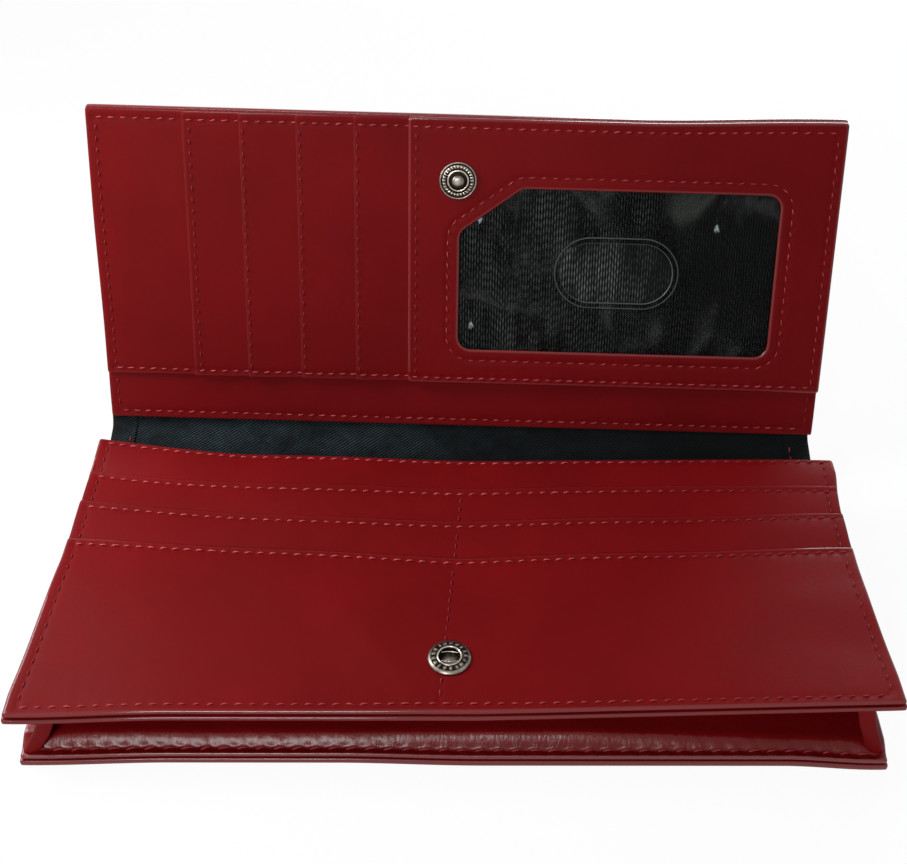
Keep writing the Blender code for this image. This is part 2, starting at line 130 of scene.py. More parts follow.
def linear(code: str) -> tuple[float, float, float, float]:
    """Return a hex sRGB colour as linear light with full opacity."""
    shares = [int(code[index : index + 2], 16) / 255 for index in (1, 3, 5)]
    light = [share / 12.92 if share <= 0.04045 else ((share + 0.055) / 1.055) ** 2.4 for share in shares]
    return light[0], light[1], light[2], 1.0


class Body(Enum):
    """The CAD bodies that the pieces ride on."""

    BASE = "base"
    SPINE = "spine"
    LID = "lid"
    BLOCK = "card_block"


class Run(Enum):
    """Which way a row of stitches runs on its sheet."""

    ALONG = "along the wallet"
    ACROSS = "across the sheet"


# Finishes

Tree = bpy.types.NodeTree
Socket = bpy.types.NodeSocket
WAVE_REPEAT = math.tau / 20  # a wave texture of scale 1 has a band every tau / 20
COLOURS = {"out": 2, "data_type": "RGBA"}  # a Mix node of these goes from colour 6 to colour 7 by share 0


def feed(tree: Tree, node: bpy.types.Node, inputs: dict) -> None:
    """Fill a node's inputs by name or number: a socket is linked, and anything else is set."""
    for key, value in inputs.items():
        if isinstance(value, Socket):
            tree.links.new(value, node.inputs[key])
        else:
            node.inputs[key].default_value = value


def add_node(tree: Tree, kind: str, inputs: dict | None = None, out: int | str = 0, **settings) -> Socket:
    """Add a shader node with its settings and inputs.

    Args:
        tree: The material's or world's node tree.
        kind: The node's Blender type, after ShaderNode.
        inputs: Values, or sockets to link from, by the input's name or number.
        out: The wanted output's name or number.
        settings: The node's own properties.

    Returns:
        The wanted output.
    """
    node = tree.nodes.new(f"ShaderNode{kind}")
    for name, value in settings.items():
        setattr(node, name, value)
    feed(tree, node, inputs or {})
    return node.outputs[out]


def per_metre(size_mm: float) -> float:
    """Return the scale at which a texture cell has this size on Object coordinates."""
    return 1.0 / (size_mm * MM)


@dataclass(frozen=True)
class Finish:
    """A material by its real name, whose shader each kind of finish fills."""

    name: str

    def inputs(self, tree: Tree) -> dict:
        """Return the shader's inputs, as values and sockets."""
        return {}

    def material(self) -> Material:
        """Return the finish as a material."""
        made = bpy.data.materials.new(self.name)
        made.use_nodes = True
        feed(made.node_tree, made.node_tree.nodes["Principled BSDF"], self.inputs(made.node_tree))
        return made


@dataclass(frozen=True)
class Leather(Finish):
    """Chrome-tanned cowhide with a pigmented top coat, rolled smooth.

    The coat gives an even burgundy with a soft sheen, the pores give a fine
    pebble, and the edges are painted darker and rub lighter beside the paint.
    Along the rows of stitches the colour is darkened towards the paint's, as
    painted shade in their grooves.
    Creases are as many times as high as they are wide as crease_height says.
    """

    colour: str = "#730C10"
    dark: str = "#670A0D"
    # the edge paint's colour, which the painted shade along the stitches also darkens towards
    paint: str = "#520A0D"
    rubbed: str = "#7E1E20"
    rub_share: float = 0.2
    rag_mm: float = 1.6
    # how far the painted shade along the stitches darkens the leather towards the paint colour
    groove_share: float = 0.3
    roughness: float = 0.52
    sheen_spread: float = 0.06
    shine: float = 0.06
    coat: float = 0.0
    edge_polish: float = 0.1
    coat_roughness: float = 0.16
    pore_mm: float = 0.45
    pore_depth_mm: float = 0.012
    crease_mm: float = 5.0
    crease_depth_mm: float = 0.06
    crease_height: float = 1.0
    mottle_mm: float = 40.0

    def inputs(self, tree: Tree) -> dict:
        """Return the leather's colour, gloss and relief."""
        place = add_node(tree, "TexCoord", out="Object")
        drawn = 1.0 / self.crease_height
        upright = add_node(tree, "Mapping", {"Vector": place, "Scale": (1.0, drawn, drawn)})
        folds = {"Vector": upright, "Scale": per_metre(self.crease_mm), "Detail": 5.0, "Roughness": 0.62}
        creases = add_node(tree, "TexNoise", folds)
        pebble = {"Vector": place, "Scale": per_metre(self.pore_mm), "Randomness": 1.0}
        pores = add_node(tree, "TexVoronoi", pebble, out="Distance", feature="SMOOTH_F1")
        coarse = {"Height": creases, "Distance": self.crease_depth_mm * MM, "Strength": 1.0}
        fine = {"Height": pores, "Distance": self.pore_depth_mm * MM, "Strength": 1.0}
        low, high = self.roughness - self.sheen_spread, self.roughness + self.sheen_spread
        edge = add_node(tree, "Attribute", out="Fac", attribute_name="edge_mm")
        polish = {0: edge, 1: 0.3, 2: 0.8, 3: max(self.edge_polish, self.coat), 4: self.coat}
        return {
            "Base Color": self.colour_of(tree, place),
            "Roughness": add_node(tree, "MapRange", {0: creases, 1: 0.3, 2: 0.7, 3: low, 4: high}),
            "Normal": add_node(tree, "Bump", {**fine, "Normal": add_node(tree, "Bump", coarse)}),
            "Coat Weight": add_node(tree, "MapRange", polish),
            "Specular IOR Level": self.shine,
            "Coat Roughness": self.coat_roughness,
            "Coat IOR": 1.65,
        }

    def colour_of(self, tree: Tree, place: Socket) -> Socket:
        """Return the mottled colour, rubbed and painted at the edges, with painted shade along the stitches.

        Args:
            tree: The material's node tree.
            place: The Object coordinates.

        Returns:
            The colour's socket.
        """
        spots = {"Vector": place, "Scale": per_metre(self.mottle_mm), "Detail": 6.0, "Roughness": 0.6}
        shade = add_node(tree, "MapRange", {0: add_node(tree, "TexNoise", spots), 1: 0.35, 2: 0.65})
        edge = add_node(tree, "Attribute", out="Fac", attribute_name="edge_mm")
        rough = add_node(tree, "TexNoise", {"Vector": place, "Scale": per_metre(self.rag_mm), "Detail": 3.0})
        ragged = add_node(tree, "Math", {0: rough, 1: -0.5, 2: edge}, operation="MULTIPLY_ADD")
        rub = add_node(tree, "MapRange", {0: ragged, 1: 0.0, 2: 0.5, 3: self.rub_share, 4: 0.0})
        brim = add_node(tree, "MapRange", {0: ragged, 1: -0.2, 2: -0.05, 3: 1.0, 4: 0.0})
        # painted shade in the stitches' grooves, read from the seam mark
        seam = add_node(tree, "Attribute", out="Fac", attribute_name="seam")
        groove = add_node(tree, "Math", {0: seam, 1: self.groove_share}, operation="MULTIPLY")
        colour: tuple | Socket = linear(self.dark)
        layers = (shade, self.colour), (rub, self.rubbed), (brim, self.paint), (groove, self.paint)
        for share, tint in layers:
            colour = add_node(tree, "Mix", {0: share, 6: colour, 7: linear(tint)}, **COLOURS)
        return colour


@dataclass(frozen=True)
class Weave(Finish):
    """Black polyester lining cloth, woven.

    A twill's ribs run slantwise, with a painted blue-grey highlight along their
    tops, and a plain mesh shows its upright threads as painted glinting dashes,
    each thread started off by chance within the stagger's share of a dash. The
    painted highlights lie in patches and fade towards the right end, where the
    light falls off. The threads are drawn about twice as coarse as they are, so
    that they show at this size.
    """

    # colour of the painted highlight on the threads' tops
    thread: str = "#3D4E56"
    gap: str = "#020303"
    thread_mm: float = 0.75
    slant: float = 52.0
    cross_share: float = 0.25
    dash: float = 1.3
    stagger: float = 0.0
    waver: float = 0.6
    # how high up a rib the painted highlight starts
    glint_from: float = 0.3
    patch_mm: float = 28.0
    patch_height: float = 1.0
    # where along the cloth the painted highlight fades from full to faint, towards the right
    glint_reach_mm: tuple[float, float] = (-45.0, 65.0)
    roughness: float = 0.6
    shine: float = 0.08

    def inputs(self, tree: Tree) -> dict:
        """Return the cloth's colour and relief, which follow the piece's own UV map."""
        place = add_node(tree, "UVMap", uv_map="cloth")
        over, along = (
            add_node(tree, "Mapping", {"Vector": place, "Rotation": (0.0, 0.0, math.radians(turn))})
            for turn in (self.slant, self.slant + 90.0)
        )
        ways = (over, self.thread_mm), (self.staggered(tree, over, along), self.thread_mm * self.dash)
        uneven = {"Distortion": self.waver, "Detail": 2.0, "Detail Scale": 0.4}
        ribs = []
        for way, size in ways:
            wave = {"Vector": way, "Scale": WAVE_REPEAT / (size * MM), **uneven}
            ribs.append(add_node(tree, "TexWave", wave, out="Fac"))
        cross = add_node(tree, "MapRange", {0: ribs[1], 3: 1.0 - self.cross_share, 4: 1.0})
        rise = add_node(tree, "Math", {0: ribs[0], 1: cross}, operation="MULTIPLY")
        # the painted highlight fades along x towards the right end, where the light falls off
        reach = {1: self.glint_reach_mm[0] * MM, 2: self.glint_reach_mm[1] * MM, 3: 1.0, 4: 0.15}
        along_x = add_node(tree, "SeparateXYZ", {"Vector": place}, out="X")
        painted_glint = add_node(tree, "MapRange", {0: along_x, **reach}, interpolation_type="SMOOTHSTEP")
        drawn = add_node(tree, "Mapping", {"Vector": place, "Scale": (1.0, 1.0 / self.patch_height, 1.0)})
        patches = {"Vector": drawn, "Scale": per_metre(self.patch_mm), "Detail": 9.0, "Roughness": 0.86}
        # noise patches where the painted highlight shows
        glint_patches = add_node(tree, "TexNoise", patches)
        patchy = add_node(tree, "MapRange", {0: glint_patches, 1: 0.42, 2: 0.66, 3: 0.04, 4: 1.0})
        # painted highlight on the ribs' tops, in patches and fading to the right
        tops = add_node(tree, "MapRange", {0: rise, 1: self.glint_from, 2: 0.95})
        shown = add_node(tree, "Math", {0: patchy, 1: painted_glint}, operation="MULTIPLY")
        share = add_node(tree, "Math", {0: tops, 1: shown}, operation="MULTIPLY", use_clamp=True)
        colours = {0: share, 6: linear(self.gap), 7: linear(self.thread)}
        return {
            "Base Color": add_node(tree, "Mix", colours, **COLOURS),
            "Normal": add_node(tree, "Bump", {"Height": rise, "Distance": self.thread_mm * 0.2 * MM}),
            "Roughness": self.roughness,
            "Specular IOR Level": self.shine,
        }

    def staggered(self, tree: Tree, over: Socket, along: Socket) -> Socket:
        """Return the place along the rib, started off anew by chance on each rib.

        Args:
            tree: The material's node tree.
            over: The place with X across the ribs.
            along: The place with X along the ribs.

        Returns:
            The place along the rib, where no two ribs' dashes stand in line.
        """
        across = add_node(tree, "SeparateXYZ", {"Vector": over}, out="X")
        count = add_node(tree, "Math", {0: across, 1: per_metre(self.thread_mm)}, operation="MULTIPLY")
        number = add_node(tree, "Math", {0: count}, operation="FLOOR")
        chance = add_node(tree, "TexWhiteNoise", {"W": number}, out="Value", noise_dimensions="1D")
        reach = self.stagger * self.thread_mm * self.dash * MM
        start = add_node(tree, "Math", {0: chance, 1: reach}, operation="MULTIPLY")
        shift = add_node(tree, "CombineXYZ", {"X": start})
        return add_node(tree, "VectorMath", {0: along, 1: shift}, operation="ADD")


@dataclass(frozen=True)
class Metal(Finish):
    """Antique-nickel plated brass, stamped and tumbled.

    The plating gives a warm grey shine on what stands proud, and the dark
    patina stays in the stamped hollows.
    """

    bright: str = "#B8AEA3"
    patina: str = "#1F1913"
    roughness: float = 0.19
    dullness: float = 0.3
    stain_mm: float = 0.9

    def inputs(self, tree: Tree) -> dict:
        """Return the plating's colour and polish."""
        place = add_node(tree, "TexCoord", out="Object")
        hollow = add_node(tree, "Attribute", out="Fac", attribute_name="hollow")
        spots = {"Vector": place, "Scale": per_metre(self.stain_mm), "Detail": 4.0}
        stain = add_node(tree, "TexNoise", spots)
        dulled = add_node(tree, "Math", {0: stain, 1: 0.55, 2: hollow}, operation="MULTIPLY_ADD")
        share = add_node(tree, "MapRange", {0: dulled, 1: 0.25, 2: 0.85})
        polish = {0: share, 3: self.roughness, 4: self.roughness + self.dullness}
        colours = {0: share, 6: linear(self.bright), 7: linear(self.patina)}
        return {
            "Base Color": add_node(tree, "Mix", colours, **COLOURS),
            "Roughness": add_node(tree, "MapRange", polish),
            "Metallic": 1.0,
        }


@dataclass(frozen=True)
class Vinyl(Finish):
    """Clear PVC film, calendered and a little cloudy from use.

    It shows the lining through a glossy skin, with pale smears where cards
    have rubbed it, and small pale specks at its tucks that are painted glints.
    The rim lines are the pressed lines round its edge, as place and half width,
    and they are painted pale along their ridges as highlights.
    """

    body: str = "#060707"
    smear: str = "#454A46"
    # pale colour of the painted highlight along the pressed rim lines
    rim: str = "#4A504E"
    # colour of the painted glints at the tucks
    glint_colour: str = "#AEBBBD"
    swirl_mm: float = 24.0
    swirl_depth_mm: float = 0.9
    # grain size of the painted glints
    glint_grain_mm: float = 1.1
    clear: float = 0.25
    cloudy: float = 0.55
    roughness: float = 0.12
    shine: float = 0.08
    # pressed lines painted pale as highlights, as place and half width
    painted_rim_highlights: tuple[tuple[float, float], ...] = ((0.12, 0.12), (1.5, 0.13))

    def inputs(self, tree: Tree) -> dict:
        """Return the film's colour, haze and relief."""
        place = add_node(tree, "TexCoord", out="Object")
        smears = {"Scale": per_metre(self.swirl_mm), "Detail": 6.0, "Roughness": 0.6, "Distortion": 2.2}
        swirl = add_node(tree, "TexNoise", {"Vector": place, **smears})
        share = add_node(tree, "MapRange", {0: swirl, 1: 0.5, 2: 0.74})
        colour = add_node(tree, "Mix", {0: share, 6: linear(self.body), 7: linear(self.smear)}, **COLOURS)
        haze = add_node(tree, "MapRange", {0: share, 3: self.clear, 4: self.cloudy})
        edge = add_node(tree, "Attribute", out="Fac", attribute_name="edge_mm")
        # on the film the seam mark gives the tucks, where glints are painted pale
        glint_place = add_node(tree, "Attribute", out="Fac", attribute_name="seam")
        glint_specks = {"Vector": place, "Scale": per_metre(self.glint_grain_mm), "Detail": 3.0}
        grain = add_node(tree, "TexNoise", glint_specks)
        glints = add_node(tree, "Math", {0: glint_place, 1: grain}, operation="MULTIPLY")
        # painted highlights along the rim lines and painted glints at the tucks, both made less clear
        marks = [
            (add_node(tree, "Math", {0: edge, 1: line, 2: half_width}, operation="COMPARE"), self.rim)
            for line, half_width in self.painted_rim_highlights
        ]
        marks.append((add_node(tree, "MapRange", {0: glints, 1: 0.3, 2: 0.5}), self.glint_colour))
        for shown, tint in marks:
            colour = add_node(tree, "Mix", {0: shown, 6: colour, 7: linear(tint)}, **COLOURS)
            haze = add_node(tree, "Math", {0: haze, 1: shown}, operation="MAXIMUM")
        return {
            "Base Color": colour,
            "Alpha": haze,
            "Normal": add_node(tree, "Bump", {"Height": swirl, "Distance": self.swirl_depth_mm * MM}),
            "Roughness": self.roughness,
            "Specular IOR Level": self.shine,
        }


@dataclass(frozen=True)
class Thread(Finish):
    """Twisted polyester sewing thread.

    Its two plies give a dull, uneven line that is lighter than the leather.
    """

    light: str = "#C25458"
    dark: str = "#6C1013"
    ply_mm: float = 0.35
    ply_depth_mm: float = 0.08

    def inputs(self, tree: Tree) -> dict:
        """Return the thread's colour, by each stitch's tone, and its relief."""
        place = add_node(tree, "TexCoord", out="Object")
        tone = add_node(tree, "Attribute", out="Fac", attribute_name="tone")
        plies = add_node(tree, "TexNoise", {"Vector": place, "Scale": per_metre(self.ply_mm)})
        colours = {0: tone, 6: linear(self.dark), 7: linear(self.light)}
        return {
            "Base Color": add_node(tree, "Mix", colours, **COLOURS),
            "Normal": add_node(tree, "Bump", {"Height": plies, "Distance": self.ply_depth_mm * MM}),
            "Roughness": 0.55,
            "Specular IOR Level": 0.12,
        }


@dataclass(frozen=True)
class Board(Finish):
    """Grey pasted board, pressed from waste paper: matt, with short pale and dark fibres."""

    pale: str = "#8A857C"
    dark: str = "#5F5A52"
    fibre_mm: float = 0.8
    fibre_depth_mm: float = 0.05

    def inputs(self, tree: Tree) -> dict:
        """Return the board's colour and relief."""
        place = add_node(tree, "TexCoord", out="Object")
        specks = {"Vector": place, "Scale": per_metre(self.fibre_mm), "Detail": 6.0}
        fibres = add_node(tree, "TexNoise", specks)
        colours = {0: fibres, 6: linear(self.dark), 7: linear(self.pale)}
        return {
            "Base Color": add_node(tree, "Mix", colours, **COLOURS),
            "Normal": add_node(tree, "Bump", {"Height": fibres, "Distance": self.fibre_depth_mm * MM}),
            "Roughness": 0.9,
        }


class Finishes:
    """The wallet's materials, each made once."""

    def __init__(self) -> None:
        """Make every material of the wallet."""
        turned = {"paint": "#700F13", "edge_polish": 0.5, "coat_roughness": 0.09}
        glazed = {"paint": "#700F13", "edge_polish": 0.55}
        crinkles = {"coat": 0.04, "crease_mm": 0.7, "crease_depth_mm": 0.13, "crease_height": 4.0}
        upright = {"slant": 0.0, "cross_share": 0.45, "dash": 3.0, "waver": 0.12, "stagger": 1.0}
        patches = {"glint_from": 0.3, "patch_mm": 11.0, "patch_height": 3.5, "glint_reach_mm": (14.0, 62.0)}
        self.smooth = Leather("burgundy cowhide, smooth").material()
        self.rolled = Leather("burgundy cowhide, turned edge", **turned).material()
        self.glossy = Leather(
            "burgundy cowhide, glazed", coat=0.16, roughness=0.36, shine=0.1, **glazed
        ).material()
        self.crinkled = Leather(
            "burgundy cowhide, glazed and crinkled", roughness=0.22, shine=0.2, **crinkles, **glazed
        ).material()
        self.twill = Weave("black polyester twill").material()
        # the mesh's pale thread colour is the painted glint on its upright threads
        self.mesh = Weave("black mesh lining", "#A9B5AE", "#010202", 0.7, **upright, **patches).material()
        self.nickel = Metal("antique nickel plated brass").material()
        self.vinyl = Vinyl("clear PVC film").material()
        self.thread = Thread("rose polyester thread").material()
        self.board = Board("grey pasted board").material()


# Shapes


@dataclass(frozen=True)
class Seat:
    """A sheet's frame: where its origin lies, and how far it leans back from flat.

    The wallet, set by use, is a little skew: a sheet is drawn along its depth by a
    share of x, which goes from the first skew at the origin to the second at the span.
    """

    y: float
    z: float
    lean: float = 0.0
    skew: Place = (0.0, 0.0)
    span: float = 85.0

    def place(self, x: Points, depth: Points, height: Points) -> Points:
        """Return points in the row frame: the origin, plus depth up the lean and height square to it.

        Args:
            x: Places along the wallet.
            depth: Distances up the lean.
            height: Distances square to the sheet.

        Returns:
            The points, with x, y and z in the last axis.
        """
        cos, sin = math.cos(math.radians(self.lean)), math.sin(math.radians(self.lean))
        x, depth, height = np.broadcast_arrays(x, depth, height)
        share = np.clip(depth / self.span, 0.0, 1.0)
        depth = depth + x * (self.skew[0] + (self.skew[1] - self.skew[0]) * share)
        return np.stack([x, self.y + depth * cos - height * sin, self.z + depth * sin + height * cos], -1)

    def normal(self) -> Points:
        """Return the unit vector square to the sheet."""
        return np.array([0.0, -math.sin(math.radians(self.lean)), math.cos(math.radians(self.lean))])

    def section(self, depth: float, height: float = 0.0) -> Place:
        """Return one point's y and z."""
        _, y, z = self.place(np.array(0.0), np.array(depth), np.array(height)).tolist()
        return y, z


def meeting(first: Seat, second: Seat, height: float) -> Place:
    """Return the y and z where two sheets at one height over their seats meet.

    It is the second seat's origin, plus height * (n1 + n2) / (1 + n1 . n2).
    """
    one, two = first.normal(), second.normal()
    offset = height * (one + two) / (1.0 + one @ two)
    return second.y + offset[1], second.z + offset[2]


def new_piece(
    name: str,
    points: Points,
    faces: list,
    material: Material,
    marks: dict[str, Points] | None = None,
    cloth: Points | None = None,
    weld: bool = False,
) -> Piece:
    """Put a finished mesh in the scene.

    Args:
        name: The piece's name.
        points: Vertices in millimetres.
        faces: Vertex numbers of each face.
        material: What it is made of.
        marks: One value per vertex under each attribute's name.
        cloth: A UV place per vertex, in millimetres along the cloth.
        weld: Whether points that fall together become one.

    Returns:
        The new object, at the origin.
    """
    mesh = bpy.data.meshes.new(name)
    mesh.from_pydata((points.reshape(-1, 3) * MM).tolist(), [], faces)
    for mark, values in (marks or {}).items():
        layer = mesh.attributes.new(mark, "FLOAT", "POINT")
        layer.data.foreach_set("value", np.asarray(values, np.float32).ravel())
    if cloth is not None:
        corners = np.empty(len(mesh.loops), np.int32)
        mesh.loops.foreach_get("vertex_index", corners)
        layer = mesh.uv_layers.new(name="cloth")
        layer.data.foreach_set("uv", (cloth.reshape(-1, 2)[corners] * MM).astype(np.float32).ravel())
    if weld:
        edit = bmesh.new()
        edit.from_mesh(mesh)
        bmesh.ops.remove_doubles(edit, verts=edit.verts, dist=WELD_DISTANCE)
        edit.to_mesh(mesh)
        edit.free()
    mesh.polygons.foreach_set("use_smooth", np.ones(len(mesh.polygons), bool))
    mesh.materials.append(material)
    mesh.set_sharp_from_angle(angle=SHARP_ANGLE)
    piece = bpy.data.objects.new(name, mesh)
    bpy.context.scene.collection.objects.link(piece)
    LOG.info("%s: %d faces", name, len(mesh.polygons))
    return piece


def grid_faces(rows: int, columns: int, wrap_rows: bool = False, first: int = 0) -> Points:
    """Return the quads of a grid of vertices that is numbered row by row.

    Args:
        rows: How many rows of vertices there are.
        columns: How many vertices a row has.
        wrap_rows: Whether the last row joins the first.
        first: The number of the first vertex.

    Returns:
        Four vertex numbers for each quad, which face up for rows along x and columns along y.
    """
    last = rows if wrap_rows else rows - 1
    row, column = np.meshgrid(np.arange(last), np.arange(columns - 1), indexing="ij")
    after = (row + 1) % rows
    quads = [row * columns + column, after * columns + column, after * columns + column + 1]
    quads.append(row * columns + column + 1)
    return np.stack(quads, -1).reshape(-1, 4) + first


def shell(top: Points, under: Points, wrap_rows: bool = False) -> tuple[Points, Points]:
    """Close two grids of points into one skin with walls between their edges.

    Args:
        top: The upper grid, rows by columns by three.
        under: The lower grid, of the same shape.
        wrap_rows: Whether the grids are rings.

    Returns:
        The vertices and the quads.
    """
    rows, columns = top.shape[:2]
    count = rows * columns
    number = np.arange(count).reshape(rows, columns)
    faces = [grid_faces(rows, columns, wrap_rows), grid_faces(rows, columns, wrap_rows, count)[:, ::-1]]
    ring = np.append(number[:, 0], number[0, 0]) if wrap_rows else number[:, 0]
    far = np.append(number[:, -1], number[0, -1]) if wrap_rows else number[:, -1]
    walls = [ring, far[::-1]] if wrap_rows else [ring, far[::-1], number[0][::-1], number[-1]]
    for line in walls:
        faces.append(np.stack([line[:-1], line[:-1] + count, line[1:] + count, line[1:]], -1))
    return np.concatenate([top.reshape(-1, 3), under.reshape(-1, 3)]), np.concatenate(faces)


def rolled_off(edge: Points, rim: float, least: float = 0.06) -> Points:
    """Return how thick a rolled edge is: least + (1 - least) * sqrt(1 - (1 - edge / rim)^2)."""
    round_off = np.sqrt(np.maximum(0.0, 1.0 - (1.0 - np.minimum(edge / rim, 1.0)) ** 2))
    return least + (1.0 - least) * round_off


def spaced(low: float, high: float, pitch: float, rim: float) -> Points:
    """Return grid lines that are even inside and crowd where the rim rolls over.

    Line k of the rim lies at rim times 1 - cos(k * 90 / 4 degrees) from the edge.
    """
    roll = rim * (1.0 - np.cos(np.linspace(0.0, math.pi / 2, 5)))
    inner = np.linspace(low + rim, high - rim, max(2, round((high - low - 2 * rim) / pitch) + 1))
    return np.concatenate([low + roll[:-1], inner, (high - roll[:-1])[::-1]])


def skin_piece(
    name: str,
    skins: Sequence[Points],
    material: Material,
    marks: dict[str, Points],
    grid: tuple[Points, Points],
    ring: bool = False,
) -> Piece:
    """Put a sheet's closed skin in the scene, with its grid as the cloth's UV map.

    Args:
        name: The piece's name.
        skins: The upper and the lower grid of points.
        material: What it is made of.
        marks: One value per vertex under each attribute's name.
        grid: The places along the cloth's two ways.
        ring: Whether the grids are rings.

    Returns:
        The new piece.
    """
    points, faces = shell(*skins, ring)
    cloth = np.tile(np.stack(grid, -1).reshape(-1, 2), (2, 1))
    return new_piece(name, points, faces.tolist(), material, marks, cloth)


@dataclass(frozen=True)
class Seam:
    """A straight row of stitches on a sheet, and how it pulls the leather down.

    The pull is deepest at the holes between stitches, and its dip follows
    exp(-(distance / width)^2).
    """

    run: Run
    at: float
    start: float
    end: float
    pitch: float = 2.95
    pull: float = 0.14
    width: float = 0.75
    slant: float = 8.0
    tone: float = 0.75
    # how strongly painted shade darkens the leather along this row
    groove: float = 0.6
    # how much the row's thread is painted darker towards the right end, as shade where the light falls off
    fade: float = 0.0
    bend: Field | None = None

    def across(self, x: Points, depth: Points) -> tuple[Points, Points]:
        """Return how far points lie from the row, and their place along it."""
        shift = self.bend(x, depth) if self.bend else 0.0
        if self.run is Run.ALONG:
            return depth - self.at - shift, x
        return x - self.at - shift, depth

    def nearness(self, x: Points, depth: Points) -> Points:
        """Return 1 on the row and 0 well away from it or past its ends."""
        away, along = self.across(x, depth)
        inside = smooth_step(along, self.start - 1.5, self.start + 0.5)
        inside = inside * (1.0 - smooth_step(along, self.end - 0.5, self.end + 1.5))
        return np.exp(-((away / self.width) ** 2)) * inside

    def dip(self, x: Points, depth: Points) -> Points:
        """Return how far the leather is pulled down at each point."""
        _, along = self.across(x, depth)
        beat = 0.62 + 0.38 * np.cos(math.tau * (along - self.start) / self.pitch)
        return self.pull * self.nearness(x, depth) * beat

    def stitches(self) -> tuple[Points, Points]:
        """Return the stitches' places along x and their depths."""
        count = max(1, round((self.end - self.start) / self.pitch))
        along = self.start + (np.arange(count) + 0.5) * self.pitch
        line = np.full(count, self.at)
        if self.run is Run.ALONG:
            return along, line + (self.bend(along, line) if self.bend else 0.0)
        return line + (self.bend(line, along) if self.bend else 0.0), along


@dataclass(frozen=True)
class Ripples:
    """Slow, shallow waves in a sheet that has been handled.

    Their height is a sum of sines of random direction, length and phase.
    """

    seed: int
    amplitude: float
    longest: float = 60.0
    shortest: float = 14.0
    count: int = 7

    def __call__(self, x: Points, depth: Points) -> Points:
        """Return the waves' height at each point."""
        chance = np.random.default_rng(self.seed)
        turns = chance.random(self.count) * math.tau
        lengths = self.shortest + (self.longest - self.shortest) * chance.random(self.count)
        phases = chance.random(self.count) * math.tau
        x, depth = arrays(x, depth)
        away = x[..., None] * np.cos(turns) + depth[..., None] * np.sin(turns)
        return self.amplitude * np.sin(away * math.tau / lengths + phases).sum(-1) / math.sqrt(self.count)


@dataclass(frozen=True)
class Outline:
    """A convex outline with round corners: all points at one radius from its core."""

    core: tuple[Place, ...]
    radius: float

    @property
    def middle(self) -> Place:
        """Return the middle of the core's box."""
        corners = np.asarray(self.core)
        x, depth = ((corners.min(0) + corners.max(0)) / 2).tolist()
        return x, depth

    def outside(self, x: Points, depth: Points) -> Points:
        """Return the distance outside the outline, which is negative inside it.

        It is the distance to the core's nearest side, negative inside the core,
        less the radius.
        """
        points = np.stack(np.broadcast_arrays(x, depth), -1)
        nearest = np.full(points.shape[:-1], np.inf)
        inside = np.ones(points.shape[:-1], bool)
        for start, end in zip(self.core, (*self.core[1:], self.core[0]), strict=True):
            side = np.subtract(end, start)
            gap = points - np.asarray(start)
            share = np.clip(gap @ side / (side @ side), 0.0, 1.0)
            nearest = np.minimum(nearest, np.linalg.norm(gap - share[..., None] * side, axis=-1))
            inside &= side[0] * gap[..., 1] - side[1] * gap[..., 0] > 0
        return np.where(inside, -nearest, nearest) - self.radius

    def reach(self, middle: Place, angles: Points) -> Points:
        """Return how far the outline is from a middle point along rays, found by halving."""
        low, high = np.zeros(len(angles)), np.full(len(angles), 2 * HALF_LENGTH)
        for _ in range(40):
            half = (low + high) / 2
            out = self.outside(middle[0] + half * np.cos(angles), middle[1] + half * np.sin(angles)) > 0
            high, low = np.where(out, half, high), np.where(out, low, half)
        return low

    def walk(self, middle: Place, pitch: float) -> Points:
        """Return points on the outline at an even pitch, as x and depth."""
        angles = np.linspace(0.0, math.tau, 4001)
        reach = self.reach(middle, angles)
        line = np.stack([middle[0] + reach * np.cos(angles), middle[1] + reach * np.sin(angles)], -1)
        along = np.concatenate([[0.0], np.cumsum(np.linalg.norm(np.diff(line, axis=0), axis=-1))])
        places = np.arange(round(along[-1] / pitch)) * along[-1] / round(along[-1] / pitch)
        return np.stack([np.interp(places, along, line[:, axis]) for axis in (0, 1)], -1)


